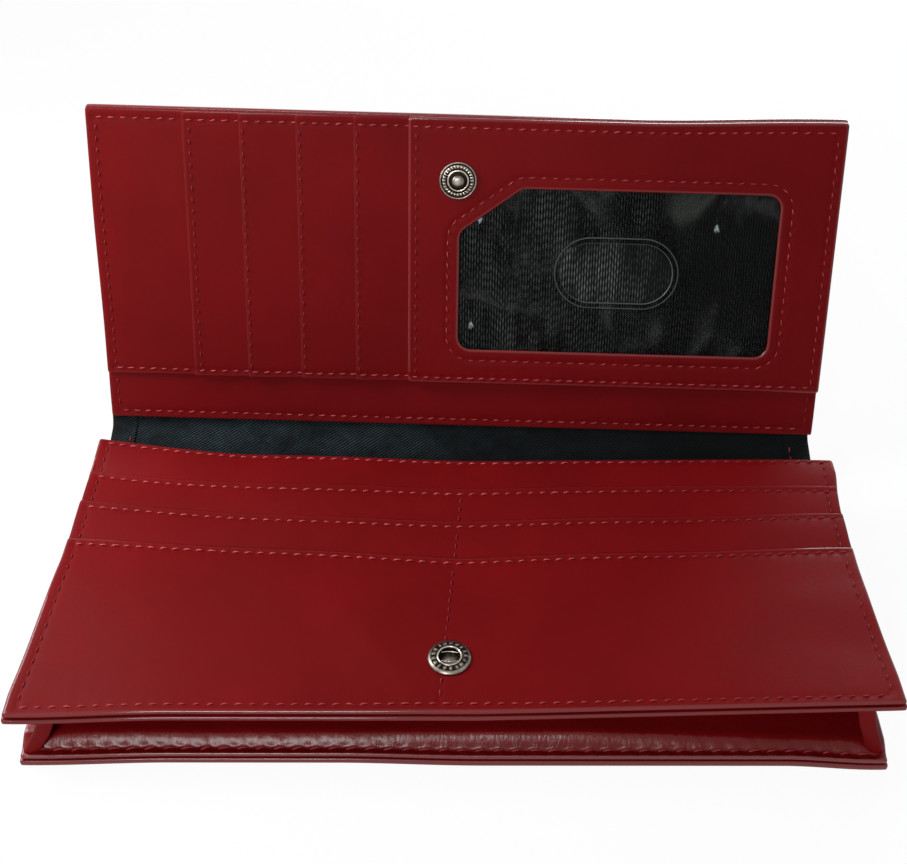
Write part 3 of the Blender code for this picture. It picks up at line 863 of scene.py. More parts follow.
@dataclass
class Sheet:
    """A cut of leather or cloth with rolled edges, rows of stitches and a soft shape.

    Its upper face is foot + thickness plus a slope, less each seam's dip. Near
    an edge its half thickness follows a quarter round of the rim's width, and a
    corner's square is pressed into a quarter disc. An edge that is turned or
    has leather under it grows by thick_start, thick_end or thick_sides, upwards
    where that is positive. A cut start or end stays square, dull_below keeps
    rubbed edges off the lower face, and one more field marks places painted pale
    as glints, in the same mark as the painted shade along the seams.
    """

    name: str
    seat: Seat
    left: float
    right: float
    start: float
    end: float
    foot: float
    thickness: float
    corner: float = 0.7
    rim: float = 0.35
    pitch: Place = (0.9, 1.6)
    slope: Place = (0.0, 0.0)
    seams: tuple[Seam, ...] = ()
    soft: Field = flat
    shift: Field = flat
    relief: Field = flat
    spread: Field = flat
    thick_start: float = 0.0
    thick_end: float = 0.0
    thick_sides: float = 0.0
    thick_reach: float = 1.6
    cut_start: bool = False
    cut_end: bool = False
    dull_below: float = 0.0
    # places painted pale as glints, which share the seam mark
    painted_glint: Field = flat

    def edge_distance(self, x: Points, depth: Points) -> Points:
        """Return each point's distance from the nearest edge that isn't cut square."""
        near = np.minimum(x - self.left, self.right - x)
        if not self.cut_start:
            near = np.minimum(near, depth - self.start)
        if not self.cut_end:
            near = np.minimum(near, self.end - depth)
        return np.maximum(near, 0.0)

    def rounded(self, x: Points, depth: Points) -> tuple[Points, Points]:
        """Press the grid's corners round: a' = a * sqrt(1 - b^2 / 2), and b' likewise.

        Args:
            x: The grid's places along the wallet.
            depth: The grid's depths.

        Returns:
            The places and depths with the corners rounded.
        """
        inner_x = np.clip(x, self.left + self.corner, self.right - self.corner)
        low = self.start if self.cut_start else self.start + self.corner
        high = self.end if self.cut_end else self.end - self.corner
        inner_depth = np.clip(depth, low, high)
        a, b = (x - inner_x) / self.corner, (depth - inner_depth) / self.corner
        return (
            inner_x + self.corner * a * np.sqrt(1.0 - b * b / 2.0),
            inner_depth + self.corner * b * np.sqrt(1.0 - a * a / 2.0),
        )

    def surface(self, x: Points, depth: Points) -> Points:
        """Return the upper face's height, without the rolled edges."""
        height = self.foot + self.thickness + self.relief(x, depth) + self.soft(x, depth)
        height = height + self.slope[0] * (x - self.left) + self.slope[1] * (depth - self.start)
        for seam in self.seams:
            height = height - seam.dip(x, depth)
        return height

    def drawn(self, x: Points, depth: Points, height: Points) -> Points:
        """Return points at a height over the seat, drawn by the sheet's spread and shift."""
        return self.seat.place(x + self.spread(x, depth), depth + self.shift(x, depth), height)

    def thickening(self, x: Points, depth: Points) -> tuple[Points, Points]:
        """Return how much the sheet's edges grow up and down: exp(-(distance / reach)^2)."""
        up, down = np.zeros_like(x), np.zeros_like(x)
        sides = np.minimum(x - self.left, self.right - x)
        ends = (self.thick_start, depth - self.start), (self.thick_end, self.end - depth)
        for growth, away in (*ends, (self.thick_sides, sides)):
            share = abs(growth) * np.exp(-((away / self.thick_reach) ** 2))
            if growth > 0:
                up = np.maximum(up, share)
            else:
                down = np.maximum(down, share)
        return up, down

    def seam_shade(self, x: Points, depth: Points) -> Points:
        """Return each row's share of painted shade on its row of stitches, and 0 away from all rows."""
        near = np.zeros_like(x)
        for seam in self.seams:
            near = np.maximum(near, seam.groove * seam.nearness(x, depth))
        return near

    def grid(self) -> tuple[Points, Points]:
        """Return the sheet's grid, which is finer at the edges and beside each row of stitches."""
        steps = np.array([-0.8, -0.4, 0.0, 0.4, 0.8])
        depth_lines = spaced(self.start, self.end, self.pitch[1], self.rim)
        x_lines = spaced(self.left, self.right, self.pitch[0], self.rim)
        along = [seam.at + steps for seam in self.seams if seam.run is Run.ALONG]
        across = [seam.at + steps for seam in self.seams if seam.run is Run.ACROSS]
        depth_lines = np.unique(np.round(np.concatenate([depth_lines, *along]), 3))
        x_lines = np.unique(np.round(np.concatenate([x_lines, *across]), 3))
        depth_lines = depth_lines[(depth_lines >= self.start) & (depth_lines <= self.end)]
        x_lines = x_lines[(x_lines >= self.left) & (x_lines <= self.right)]
        x, depth = np.meshgrid(x_lines, depth_lines, indexing="ij")
        return x, depth

    def build(self, material: Material) -> Piece:
        """Make the sheet's mesh, cut from this material."""
        grid = self.grid()
        return self.close(*grid, self.rounded(*grid), self.edge_distance(*grid), material, ring=False)

    def close(
        self,
        x: Points,
        depth: Points,
        place: tuple[Points, Points],
        edge: Points,
        material: Material,
        ring: bool,
    ) -> Piece:
        """Make the closed mesh of a grid on the sheet.

        Args:
            x: The grid's places along the wallet.
            depth: The grid's depths.
            place: The same two, with the corners rounded.
            edge: Each point's distance from the nearest rolled edge.
            material: What the sheet is cut from.
            ring: Whether the grid goes round a hole.

        Returns:
            The new piece.
        """
        up, down = self.thickening(x, depth)
        high = self.surface(x, depth) + up
        low = high - self.thickness - up - down
        half = (high - low) / 2 * rolled_off(edge, self.rim)
        along, run = place[0] + self.spread(x, depth), place[1] + self.shift(x, depth)
        skins = [self.seat.place(along, run, (high + low) / 2 + part) for part in (half, -half)]
        # the seam mark holds the painted shade along the stitches, and on the film its painted glints
        marks = {
            "edge_mm": np.concatenate([edge.ravel(), edge.ravel() + self.dull_below]),
            "seam": np.tile(np.maximum(self.seam_shade(x, depth), self.painted_glint(x, depth)).ravel(), 2),
        }
        return skin_piece(self.name, skins, material, marks, (x, depth), ring)


@dataclass
class FramedSheet(Sheet):
    """A sheet with one opening, made as a ring of rays from the opening to the outer edge.

    Ridges round the opening follow height * exp(-((distance - place) / width)^2).
    """

    hole: Outline = Outline(((0.0, 0.0),), 0.0)
    around: int = 560
    across: int = 44
    row: float = 0.0
    row_pull: float = 0.13
    row_width: float = 0.75
    ridges: tuple[tuple[float, float, float], ...] = ()

    def surface(self, x: Points, depth: Points) -> Points:
        """Return the upper face's height with the ridges and the row of stitches round the opening."""
        height = super().surface(x, depth)
        away = self.hole.outside(x, depth)
        for place, rise, width in self.ridges:
            height = height + rise * np.exp(-(((away - place) / width) ** 2))
        if self.row:
            height = height - self.row_pull * np.exp(-(((away - self.row) / self.row_width) ** 2))
        return height

    def build(self, material: Material) -> Piece:
        """Make the sheet's mesh.

        Args:
            material: What it is cut from.

        Returns:
            The new piece.
        """
        inset, middle = self.corner, self.hole.middle
        left, right, low, high = self.left + inset, self.right - inset, self.start + inset, self.end - inset
        outer = Outline(((left, low), (right, low), (right, high), (left, high)), inset)
        brink = outer.walk(middle, outer_pitch(outer, middle, self.around))
        angles = np.unwrap(np.arctan2(brink[:, 1] - middle[1], brink[:, 0] - middle[0]))
        inner_reach, outer_reach = self.hole.reach(middle, angles), outer.reach(middle, angles)
        shares = spaced(0.0, 1.0, 1.0 / self.across, 0.03)
        reach = inner_reach[:, None] + shares * (outer_reach - inner_reach)[:, None]
        reach, angle = reach[::-1], angles[::-1, None]
        x, depth = middle[0] + reach * np.cos(angle), middle[1] + reach * np.sin(angle)
        edge = np.maximum(np.minimum(self.hole.outside(x, depth), -outer.outside(x, depth)), 0.0)
        return self.close(x, depth, (x, depth), edge, material, ring=True)


def outer_pitch(outline: Outline, middle: Place, count: int) -> float:
    """Return the pitch that puts this many points round an outline."""
    fine = outline.walk(middle, 0.5)
    return float(np.linalg.norm(fine - np.roll(fine, 1, axis=0), axis=-1).sum()) / count


def folded_path(corners: Sequence[Place], radius: float, pitch: float) -> tuple[Points, Points, Points]:
    """Return a path of straight runs with round bends between them.

    Args:
        corners: The sharp path's y and z.
        radius: The bends' radius.
        pitch: The spacing along the straight runs.

    Returns:
        The path's points, its unit normals on the upper side, and the distance along it.
    """
    corners = np.asarray(corners, float)
    runs = np.diff(corners, axis=0)
    headings = np.arctan2(runs[:, 1], runs[:, 0])
    turns = np.diff(headings)
    cuts = np.concatenate([[0.0], radius * np.tan(np.abs(turns) / 2), [0.0]])
    lengths = np.hypot(runs[:, 0], runs[:, 1])
    points, angles = [], []
    for index, heading in enumerate(headings):
        way = np.array([math.cos(heading), math.sin(heading)])
        low, high = cuts[index], lengths[index] - cuts[index + 1]
        places = np.linspace(low, high, max(2, round((high - low) / pitch) + 1))
        points.append(corners[index] + places[:, None] * way)
        angles.append(np.full(len(places), heading))
        if index < len(turns):
            side = math.copysign(1.0, turns[index])
            swept = heading + turns[index] * np.linspace(0.0, 1.0, 10)[1:-1]
            centre = points[-1][-1] + side * radius * np.array([-way[1], way[0]])
            points.append(centre + side * radius * np.stack([np.sin(swept), -np.cos(swept)], -1))
            angles.append(swept)
    path, angle = np.concatenate(points), np.concatenate(angles)
    normals = np.stack([-np.sin(angle), np.cos(angle)], -1)
    along = np.concatenate([[0.0], np.cumsum(np.hypot(*np.diff(path, axis=0).T))])
    return path, normals, along


@dataclass
class Skin:
    """A sheet that is carried round the spine's bends, as a profile along a path.

    Its cross-section is a flat slab with quarter-round side edges, and its two
    ends are cut square, where the next piece of the same sheet goes on and the
    relief has calmed down.
    """

    name: str
    corners: tuple[Place, ...]
    radius: float
    left: float
    right: float
    top: float
    thickness: float
    rim: float = 0.35
    pitch: Place = (2.0, 0.8)
    relief: Field = flat
    calm: float = 3.0

    def build(self, material: Material) -> Piece:
        """Make the skin's mesh.

        Args:
            material: What it is cut from.

        Returns:
            The new piece.
        """
        path, normals, along = folded_path(self.corners, self.radius, self.pitch[1])
        x_lines = spaced(self.left, self.right, self.pitch[0], self.rim)
        x, run = np.meshgrid(x_lines, along, indexing="ij")
        edge = np.minimum(x - self.left, self.right - x)
        half = self.thickness / 2 * rolled_off(edge, self.rim)
        fade = smooth_step(run, 0.0, self.calm) * (1.0 - smooth_step(run, along[-1] - self.calm, along[-1]))
        middle = self.top - self.thickness / 2 + self.relief(x, run) * fade
        skins = [
            np.concatenate([x[..., None], path[None] + normals[None] * height[..., None]], -1)
            for height in (middle + half, middle - half)
        ]
        marks = {"edge_mm": np.tile(edge.ravel(), 2), "seam": np.zeros(2 * edge.size)}
        return skin_piece(self.name, skins, material, marks, (x, run))

    @property
    def length(self) -> float:
        """Return the distance along the path, in millimetres."""
        return float(folded_path(self.corners, self.radius, self.pitch[1])[2][-1])


@dataclass
class StitchWork:
    """All the stitches of one part of the wallet, gathered into one piece.

    A stitch is a capsule whose middle stands proud and whose ends go down into
    their holes: its height follows 1 - 1.9 * (place / half length)^2.
    """

    name: str
    seed: int
    half_length: float = 0.85
    radius: float = 0.16
    rise: float = 0.15
    rows: list[tuple[Points, ...]] = field(default_factory=list)

    def lay(self, centres: Points, ways: Points, up: Points, slant: float, tone: float | Points) -> None:
        """Keep one row: its stitches' middles, directions, upright, slant in degrees and brightness."""
        count = len(centres)
        ways = ways / np.linalg.norm(ways, axis=-1, keepdims=True)
        looks = np.full(count, slant), np.broadcast_to(tone, count)
        self.rows.append((centres, ways, np.tile(up, (count, 1)), *looks))

    def sew(self, sheet: Sheet) -> None:
        """Lay the stitches of every row on a sheet's upper face."""
        for seam in sheet.seams:
            x, depth = seam.stitches()
            step = (0.5, 0.0) if seam.run is Run.ALONG else (0.0, 0.5)
            places = ((x + share * step[0], depth + share * step[1]) for share in (0.0, 1.0, -1.0))
            middle, after, before = (
                sheet.drawn(*place, sheet.surface(*place) + 0.8 * seam.dip(*place)) for place in places
            )
            # painted shade: the thread is darkened towards the right end, where the light falls off
            tone = seam.tone * (1.0 - seam.fade * smooth_step(x, 10.0, 75.0))
            self.lay(middle, after - before, sheet.seat.normal(), seam.slant, tone)

    def sew_below(self, sheet: Sheet) -> None:
        """Lay the stitches of every row on a sheet's lower face."""
        for seam in sheet.seams:
            x, depth = seam.stitches()
            step = (1.0, 0.0) if seam.run is Run.ALONG else (0.0, 1.0)
            under = sheet.surface(x, depth) - sheet.thickness
            middle, after = sheet.drawn(x, depth, under), sheet.drawn(x + step[0], depth + step[1], under)
            self.lay(middle, after - middle, -sheet.seat.normal(), seam.slant, seam.tone)

    def sew_round(self, sheet: FramedSheet, pitch: float, tone: float) -> None:
        """Lay the row of stitches round a sheet's opening."""
        line = Outline(sheet.hole.core, sheet.hole.radius + sheet.row).walk(sheet.hole.middle, pitch)
        height = sheet.surface(line[:, 0], line[:, 1]) + 0.1
        points = sheet.drawn(line[:, 0], line[:, 1], height)
        self.lay(points, np.roll(points, -1, 0) - np.roll(points, 1, 0), sheet.seat.normal(), 8.0, tone)

    def build(self, material: Material) -> Piece:
        """Make one mesh of all the stitches.

        Args:
            material: The thread.

        Returns:
            The new piece.
        """
        centres, ways, ups, slants, tones = map(np.concatenate, zip(*self.rows, strict=True))
        chance = np.random.default_rng(self.seed)
        count = len(centres)
        turn = np.radians(slants + chance.normal(0.0, 4.0, count))[:, None]
        sides = np.cross(ups, ways)
        sides /= np.linalg.norm(sides, axis=-1, keepdims=True)
        ways, sides = ways * np.cos(turn) + sides * np.sin(turn), sides * np.cos(turn) - ways * np.sin(turn)
        stretch = 1.0 + chance.normal(0.0, 0.08, count)
        place, angle = np.meshgrid(np.linspace(-1.0, 1.0, 6), np.arange(6) * math.tau / 6, indexing="ij")
        girth = self.radius * np.sqrt(1.0 - 0.8 * place**4) * (1.0 + 0.14 * np.cos(2 * angle + 4 * place))
        lift = self.rise * (1.0 - 1.9 * place**2)
        points = (
            centres[:, None, None]
            + ways[:, None, None] * (place * self.half_length)[..., None] * stretch[:, None, None, None]
            + sides[:, None, None] * (girth * np.cos(angle))[..., None]
            + ups[:, None, None] * (girth * np.sin(angle) + lift)[..., None]
        )
        rings, around = place.shape
        ring, corner = np.meshgrid(np.arange(rings - 1), np.arange(around), indexing="ij")
        after = (corner + 1) % around
        low, high = ring * around, (ring + 1) * around
        tube = np.stack([low + corner, low + after, high + after, high + corner], -1).reshape(-1, 4)
        starts = (np.arange(count) * rings * around)[:, None]
        first = np.arange(around)
        caps = np.concatenate([first[::-1] + starts, first + (rings - 1) * around + starts])
        faces = (tube + starts[..., None]).reshape(-1, 4).tolist() + caps.tolist()
        bright = np.clip(tones * (0.7 + 0.5 * chance.random(count)), 0.0, 1.0)
        return new_piece(self.name, points, faces, material, {"tone": np.repeat(bright, rings * around)})


@dataclass(frozen=True)
class Turned:
    """A stamped metal ring: a profile carried round an axis that stands on a sheet.

    Each profile point is a radius, a height and how much patina lies there. The
    stamping adds a height that depends on the radius and the angle, and what
    stands up is rubbed free of patina.
    """

    name: str
    seat: Seat
    x: float
    depth: float
    base: float
    profile: tuple[tuple[float, float, float], ...]
    stamping: Field = flat
    around: int = 120
    patina_per_mm: float = 3.2

    def build(self, material: Material) -> Piece:
        """Make the ring's mesh.

        Args:
            material: What it is plated with.

        Returns:
            The new piece.
        """
        knots = np.asarray(self.profile)
        steps = np.linspace(0, len(knots) - 1, 2 * (len(knots) - 1) + 1)
        radius, height, hollow = (np.interp(steps, np.arange(len(knots)), column) for column in knots.T)
        angle, radius = np.meshgrid(np.arange(self.around) * math.tau / self.around, radius, indexing="ij")
        rise = self.base + height + self.stamping(radius, angle)
        points = self.seat.place(self.x + radius * np.cos(angle), self.depth + radius * np.sin(angle), rise)
        faces = grid_faces(*radius.shape, wrap_rows=True).tolist()
        stamped = self.patina_per_mm * self.stamping(radius, angle)
        marks = {"hollow": np.clip(hollow - stamped, 0.0, 1.0)}
        return new_piece(self.name, points, faces, material, marks, weld=True)


# The wallet's parts

BASE_SEAT = Seat(-66.981, 0.0, skew=(0.02, 0.0), span=75.0)
BLOCK_SEAT = Seat(-65.481, 0.0, skew=(0.02, 0.0), span=81.5)
SPINE_SEAT = Seat(17.719, 1.1, SPINE_LEAN)
LEVEL_SEAT = Seat(SPINE_SEAT.y, SPINE_SEAT.z)
LID_SEAT = Seat(37.503, 6.773, LID_LEAN)
LID_SHEET_SEAT = Seat(37.503, 6.773, LID_LEAN, skew=(-0.012, -0.012))
LID_COVER_SEAT = Seat(37.503, 6.773, LID_LEAN, skew=(0.0, -0.012))
MID_SPINE = 10.3
BEND_REACH = 5.0
MIDDLE_DRIFT = 4.3
MIDDLE_REACH = 68.5


def carry(piece: Piece, body: Body, slot: str, *nodes: str) -> None:
    """Make a piece ride on a body in the place of CAD nodes."""
    if nodes:
        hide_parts(*nodes)
    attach(piece, body.value)


def bridge(piece: Piece, pair: tuple[Body, Body], ends: tuple, slot: str, *nodes: str) -> None:
    """Hide the CAD nodes that a piece stands for, and bake its place into its mesh."""
    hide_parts(*nodes)
    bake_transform(piece)


def press(piece: Piece) -> None:
    """Give a piece a mesh of its own."""
    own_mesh(piece)


def fold_ends(low: Seat, high: Seat) -> tuple:
    """Return where a bend between two seats starts and ends, in metres."""
    y, z = meeting(low, high, 0.0)
    ends = []
    for seat, reach in ((low, -BEND_REACH), (high, BEND_REACH)):
        lean = math.radians(seat.lean)
        ends.append((0.0, (y + reach * math.cos(lean)) * MM, (z + reach * math.sin(lean)) * MM))
    return tuple(ends)


def path_low(height: float, start_y: float) -> tuple[Place, ...]:
    """Return the path from the base over the first bend to the middle of the spine."""
    fold = meeting(LEVEL_SEAT, SPINE_SEAT, height)
    return (start_y, LEVEL_SEAT.z + height), fold, SPINE_SEAT.section(MID_SPINE, height)


def path_high(height: float, end_depth: float) -> tuple[Place, ...]:
    """Return the path from the middle of the spine over the second bend onto the lid."""
    fold = meeting(SPINE_SEAT, LID_SEAT, height)
    return SPINE_SEAT.section(MID_SPINE, height), fold, LID_SEAT.section(end_depth, height)


def bend_pair(skins: tuple[Skin, Skin], material: Material, slot: str, node: str) -> list:
    """Make the two halves of a sheet that goes round the spine's two bends.

    Args:
        skins: The lower and the upper half.
        material: What they are cut from.
        slot: The name of their finish, which is not used.
        node: The CAD node that they stand for.

    Returns:
        The lower and the upper piece, each with its length in millimetres.
    """
    pairs = (Body.BASE, Body.SPINE), (Body.SPINE, Body.LID)
    seats = (LEVEL_SEAT, SPINE_SEAT), (SPINE_SEAT, LID_SEAT)
    made = []
    for skin, pair, folded in zip(skins, pairs, seats, strict=True):
        piece = skin.build(material)
        bridge(piece, pair, fold_ends(*folded), slot, node)
        made.append((piece, skin.length))
    return made


@dataclass(frozen=True)
class BaseSet:
    """The set of the base's front edge, in millimetres: it lifts off the table and creeps forward."""

    lift: float = 1.1
    forward: float = 0.5
    creep: float = 1.0

    def soft(self, x: Points, depth: Points) -> Points:
        """Return how far the front edge stands off the table."""
        share = smooth_step(x, -92.0, -62.0) * (1.0 - smooth_step(x, -26.0, 6.0))
        return self.lift * share * (1.0 - smooth_step(depth, -1.0, 7.0))

    def shift(self, x: Points, depth: Points) -> Points:
        """Return how far the front edge is drawn forward, most at its right corner."""
        forward = self.forward + self.creep * smooth_step(x, 72.0, 92.0)
        return -forward * (1.0 - smooth_step(depth, 0.0, 25.0))


@dataclass(frozen=True)
class LidSet:
    """The set of the lid's sheets, in millimetres: the ends are drawn out and the top right corner up."""

    right: float = 1.0
    left: float = 0.5
    top: float = 1.5

    def spread(self, x: Points, depth: Points) -> Points:
        """Return how far the two ends are drawn outwards."""
        high = smooth_step(depth, 25.0, 60.0)
        return self.right * smooth_step(x, 81.5, 93.0) - self.left * smooth_step(-x, 72.0, 93.0) * high

    def shift(self, x: Points, depth: Points) -> Points:
        """Return how far the top right corner is drawn up."""
        return self.top * smooth_step(x, 42.0, 95.0) * smooth_step(depth, 69.0, 90.0) / 0.86


@dataclass
class Cover:
    """The outer leather in one skin: base, spine and lid, with a row of stitches round its rim."""

    base_end: float = 77.0
    lid_start: float = 8.0
    low_radius: float = 18.0
    high_radius: float = 4.6
    row_inset: float = 2.6
    pitch: float = 2.95
    corner: float = 0.9
    rim: float = 0.5

    def seams(self, end: float, start: float, far: bool) -> tuple[Seam, ...]:
        """Return the three rows near a half's free edges, pulled in from outside."""
        side = HALF_LENGTH - self.row_inset
        outer = end - self.row_inset if far else start + self.row_inset
        low, high = (start, outer) if far else (outer, end)
        look = {"pitch": self.pitch, "pull": -0.12, "tone": 0.6}
        ends = (Seam(Run.ACROSS, place, low, high, **look) for place in (-side, side))
        return Seam(Run.ALONG, outer, -side, side, **look), *ends

    def build(self, finishes: Finishes) -> None:
        """Make the cover's four pieces and its stitches.

        Args:
            finishes: The wallet's materials.
        """
        slot, side, thick = "glossy_red_leather", HALF_LENGTH, COVER_THICKNESS
        base = Sheet(
            "cover_base", BASE_SEAT, -side, side, 0.0, self.base_end, 0.0, thick, self.corner, self.rim,
            pitch=(1.4, 2.6), seams=self.seams(self.base_end, 0.0, far=False), soft=BaseSet().soft,
            shift=BaseSet().shift, dull_below=1.0, thick_start=0.55, thick_sides=0.55, cut_end=True,
        )
        carry(base.build(finishes.glossy), Body.BASE, slot, "base_outer_leather")
        lid = Sheet(
            "cover_lid", LID_COVER_SEAT, -side, side, self.lid_start, LID_DEPTH, -thick, thick, self.corner,
            self.rim, pitch=(1.2, 1.6), seams=self.seams(LID_DEPTH, self.lid_start, far=True),
            relief=self.lid_waves, spread=LidSet().spread, shift=LidSet().shift, thick_end=0.9,
            thick_sides=0.5, cut_start=True,
        )
        carry(lid.build(finishes.glossy), Body.LID, slot, "lid_outer_leather")
        size = -side, side, 0.0, thick, self.rim
        crumple = Ripples(31, 0.05, 9.0, 4.0)
        low_path, high_path = path_low(0.0, BASE_SEAT.y + self.base_end), path_high(0.0, self.lid_start)
        low = Skin("cover_fold_low", low_path, self.low_radius, *size, relief=crumple)
        high = Skin("cover_fold_high", high_path, self.high_radius, *size, relief=crumple)
        bend_pair((low, high), finishes.glossy, slot, "spine_outer_leather")
        rows = (base, Body.BASE, "cover_base_stitches", 41), (lid, Body.LID, "cover_lid_stitches", 42)
        for sheet, body, name, seed in rows:
            work = StitchWork(name, seed)
            work.sew_below(sheet)
            carry(work.build(finishes.thread), body, slot)

    def lid_waves(self, x: Points, depth: Points) -> Points:
        """Return shallow waves that die out where the cover's next piece goes on."""
        grown = smooth_step(depth, self.lid_start, self.lid_start + 6.0)
        return Ripples(11, 0.05, 80.0, 25.0)(x, depth) * grown


@dataclass
class Lining:
    """The black twill: the bill pocket's floor, the two bends of the spine, and the hems at its ends."""

    half_width: float = 94.6
    hem_width: float = 6.6
    floor_start: float = 26.3
    floor_end: float = 79.0
    floor_foot: float = 2.3
    cloth: float = 0.4
    hem_cloth: float = 0.35
    hem_gap: float = 0.05
    spine_height: float = 0.7
    lid_end: float = 5.4
    low_radius: float = 12.0
    high_radius: float = 3.6
    rim: float = 0.15
    dot_depths: Place = (12.6, 15.4)
    dot_inset: float = 1.2
    dot_height: float = 0.16

    def build(self, finishes: Finishes) -> None:
        """Make the lining's pieces and dress them.

        Args:
            finishes: The wallet's materials.
        """
        side = self.half_width
        floor = Sheet(
            "lining_floor", BASE_SEAT, -side, side, self.floor_start, self.floor_end, self.floor_foot,
            self.cloth, rim=0.2, pitch=(3.0, 3.0), cut_end=True,
        ).build(finishes.twill)
        carry(floor, Body.BASE, "black_twill", "bill_pocket_lining")
        top, inner = self.spine_height, side - self.hem_width
        hem = top + self.hem_cloth + self.hem_gap, self.hem_cloth
        strips = (
            ("lining_fold", -side, side, top, self.cloth, "spine_lining"),
            ("hem_left", -side, -inner, *hem, "spine_hem_left"),
            ("hem_right", inner, side, *hem, "spine_hem_right"),
        )
        folds, left, right = (self.strip(finishes, *strip) for strip in strips)
        self.dots(finishes)

    def strip(
        self, finishes: Finishes, name: str, left: float, right: float, top: float, cloth: float, node: str
    ) -> list:
        """Make a strip's lower bend and its upper bend.

        Args:
            finishes: The wallet's materials.
            name: The strip's name, to which low or high is added.
            left: Its left edge.
            right: Its right edge.
            top: Its upper face's height over the cover's inner face.
            cloth: Its thickness.
            node: The CAD node that it stands for.

        Returns:
            The lower and the upper piece, each with its length in millimetres.
        """
        size, crumple = (left, right, top, cloth, self.rim), Ripples(17, 0.07, 30.0, 9.0)
        floor_step = self.floor_foot + self.cloth - COVER_THICKNESS - top
        start_y = BASE_SEAT.y + self.floor_end
        low_path = ((start_y, LEVEL_SEAT.z + max(floor_step, 0.0)), *path_low(0.0, start_y)[1:])
        low = Skin(f"{name}_low", low_path, self.low_radius, *size, relief=crumple)
        high = Skin(f"{name}_high", path_high(0.0, self.lid_end), self.high_radius, *size, relief=crumple)
        return bend_pair((low, high), finishes.twill, "black_twill", node)

    def dots(self, finishes: Finishes) -> None:
        """Make the hems' stitches beside their inner edges."""
        for side, end, seed in ((-1.0, "left", 51), (1.0, "right", 52)):
            work = StitchWork(f"hem_stitches_{end}", seed, half_length=0.8)
            depth = np.array(self.dot_depths)
            x = np.full(len(depth), side * (self.half_width - self.hem_width + self.dot_inset))
            height = self.spine_height + self.hem_cloth + self.dot_height
            ways = SPINE_SEAT.place(x, depth + 1.0, 0.0) - SPINE_SEAT.place(x, depth, 0.0)
            work.lay(SPINE_SEAT.place(x, depth, height), ways, SPINE_SEAT.normal(), 0.0, 0.3)
            carry(work.build(finishes.thread), Body.SPINE, "black_twill")


@dataclass
class Base:
    """The base half above its cover: board, glossy facing in the mouth, and its front row."""

    start: float = 0.4
    end: float = 26.0
    foot: float = 2.3
    leather: float = 0.8
    row: float = 2.2
    pitch: float = 4.0
    roll: float = 2.7
    crinkle: float = 0.02
    keep: float = 0.18

    def build(self, frame: dict, finishes: Finishes) -> None:
        """Make the facing and its stitches, and dress the board.

        Args:
            frame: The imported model.
            finishes: The wallet's materials.
        """
        frame["nodes"]["base_board"].material_slots[0].material = finishes.board
        side = HALF_LENGTH - EDGE_STEP
        look = {"pitch": self.pitch, "pull": 0.4, "width": 0.9, "slant": 14.0, "tone": 0.4}
        facing = Sheet(
            "base_facing", BASE_SEAT, -side, side, self.start, self.end, self.foot, self.leather, rim=0.5,
            pitch=(0.42, 0.6), seams=(Seam(Run.ALONG, self.row, -side + 2.2, side - 2.2, **look),),
            relief=self.puckers, soft=BaseSet().soft, shift=BaseSet().shift, dull_below=1.0,
            thick_start=-0.5, thick_sides=-0.5,
        )
        work = StitchWork("base_stitches", 61, half_length=1.25, radius=0.21)
        work.sew(facing)
        leather, thread = facing.build(finishes.crinkled), work.build(finishes.thread)
        carry(leather, Body.BASE, "glossy_red_leather", "base_front_facing")
        carry(thread, Body.BASE, "glossy_red_leather")
        for piece in (leather, thread):
            press(piece)

    def puckers(self, x: Points, depth: Points) -> Points:
        """Return the roll behind the front row, with creases that beat with its stitches."""
        fine = Ripples(23, self.crinkle, 3.4, 1.3, 11)(1.6 * x, depth)
        fine = fine + Ripples(24, 0.1, 40.0, 14.0, 5)(x, depth)
        beat = self.crinkle * np.cos(math.tau * (x - self.start) / self.pitch)
        beat = beat * np.exp(-((depth - 3.4) ** 2) / 3.0)
        full = self.roll * smooth_step(depth, 1.8, 5.8)
        full = full * (1.0 - 0.5 * smooth_step(np.abs(x + 22.0), 45.0, 95.0))
        return (fine + beat + full) * smooth_step(depth, 1.4, 3.4) * (1.0 - smooth_step(depth, 10.0, 24.0))


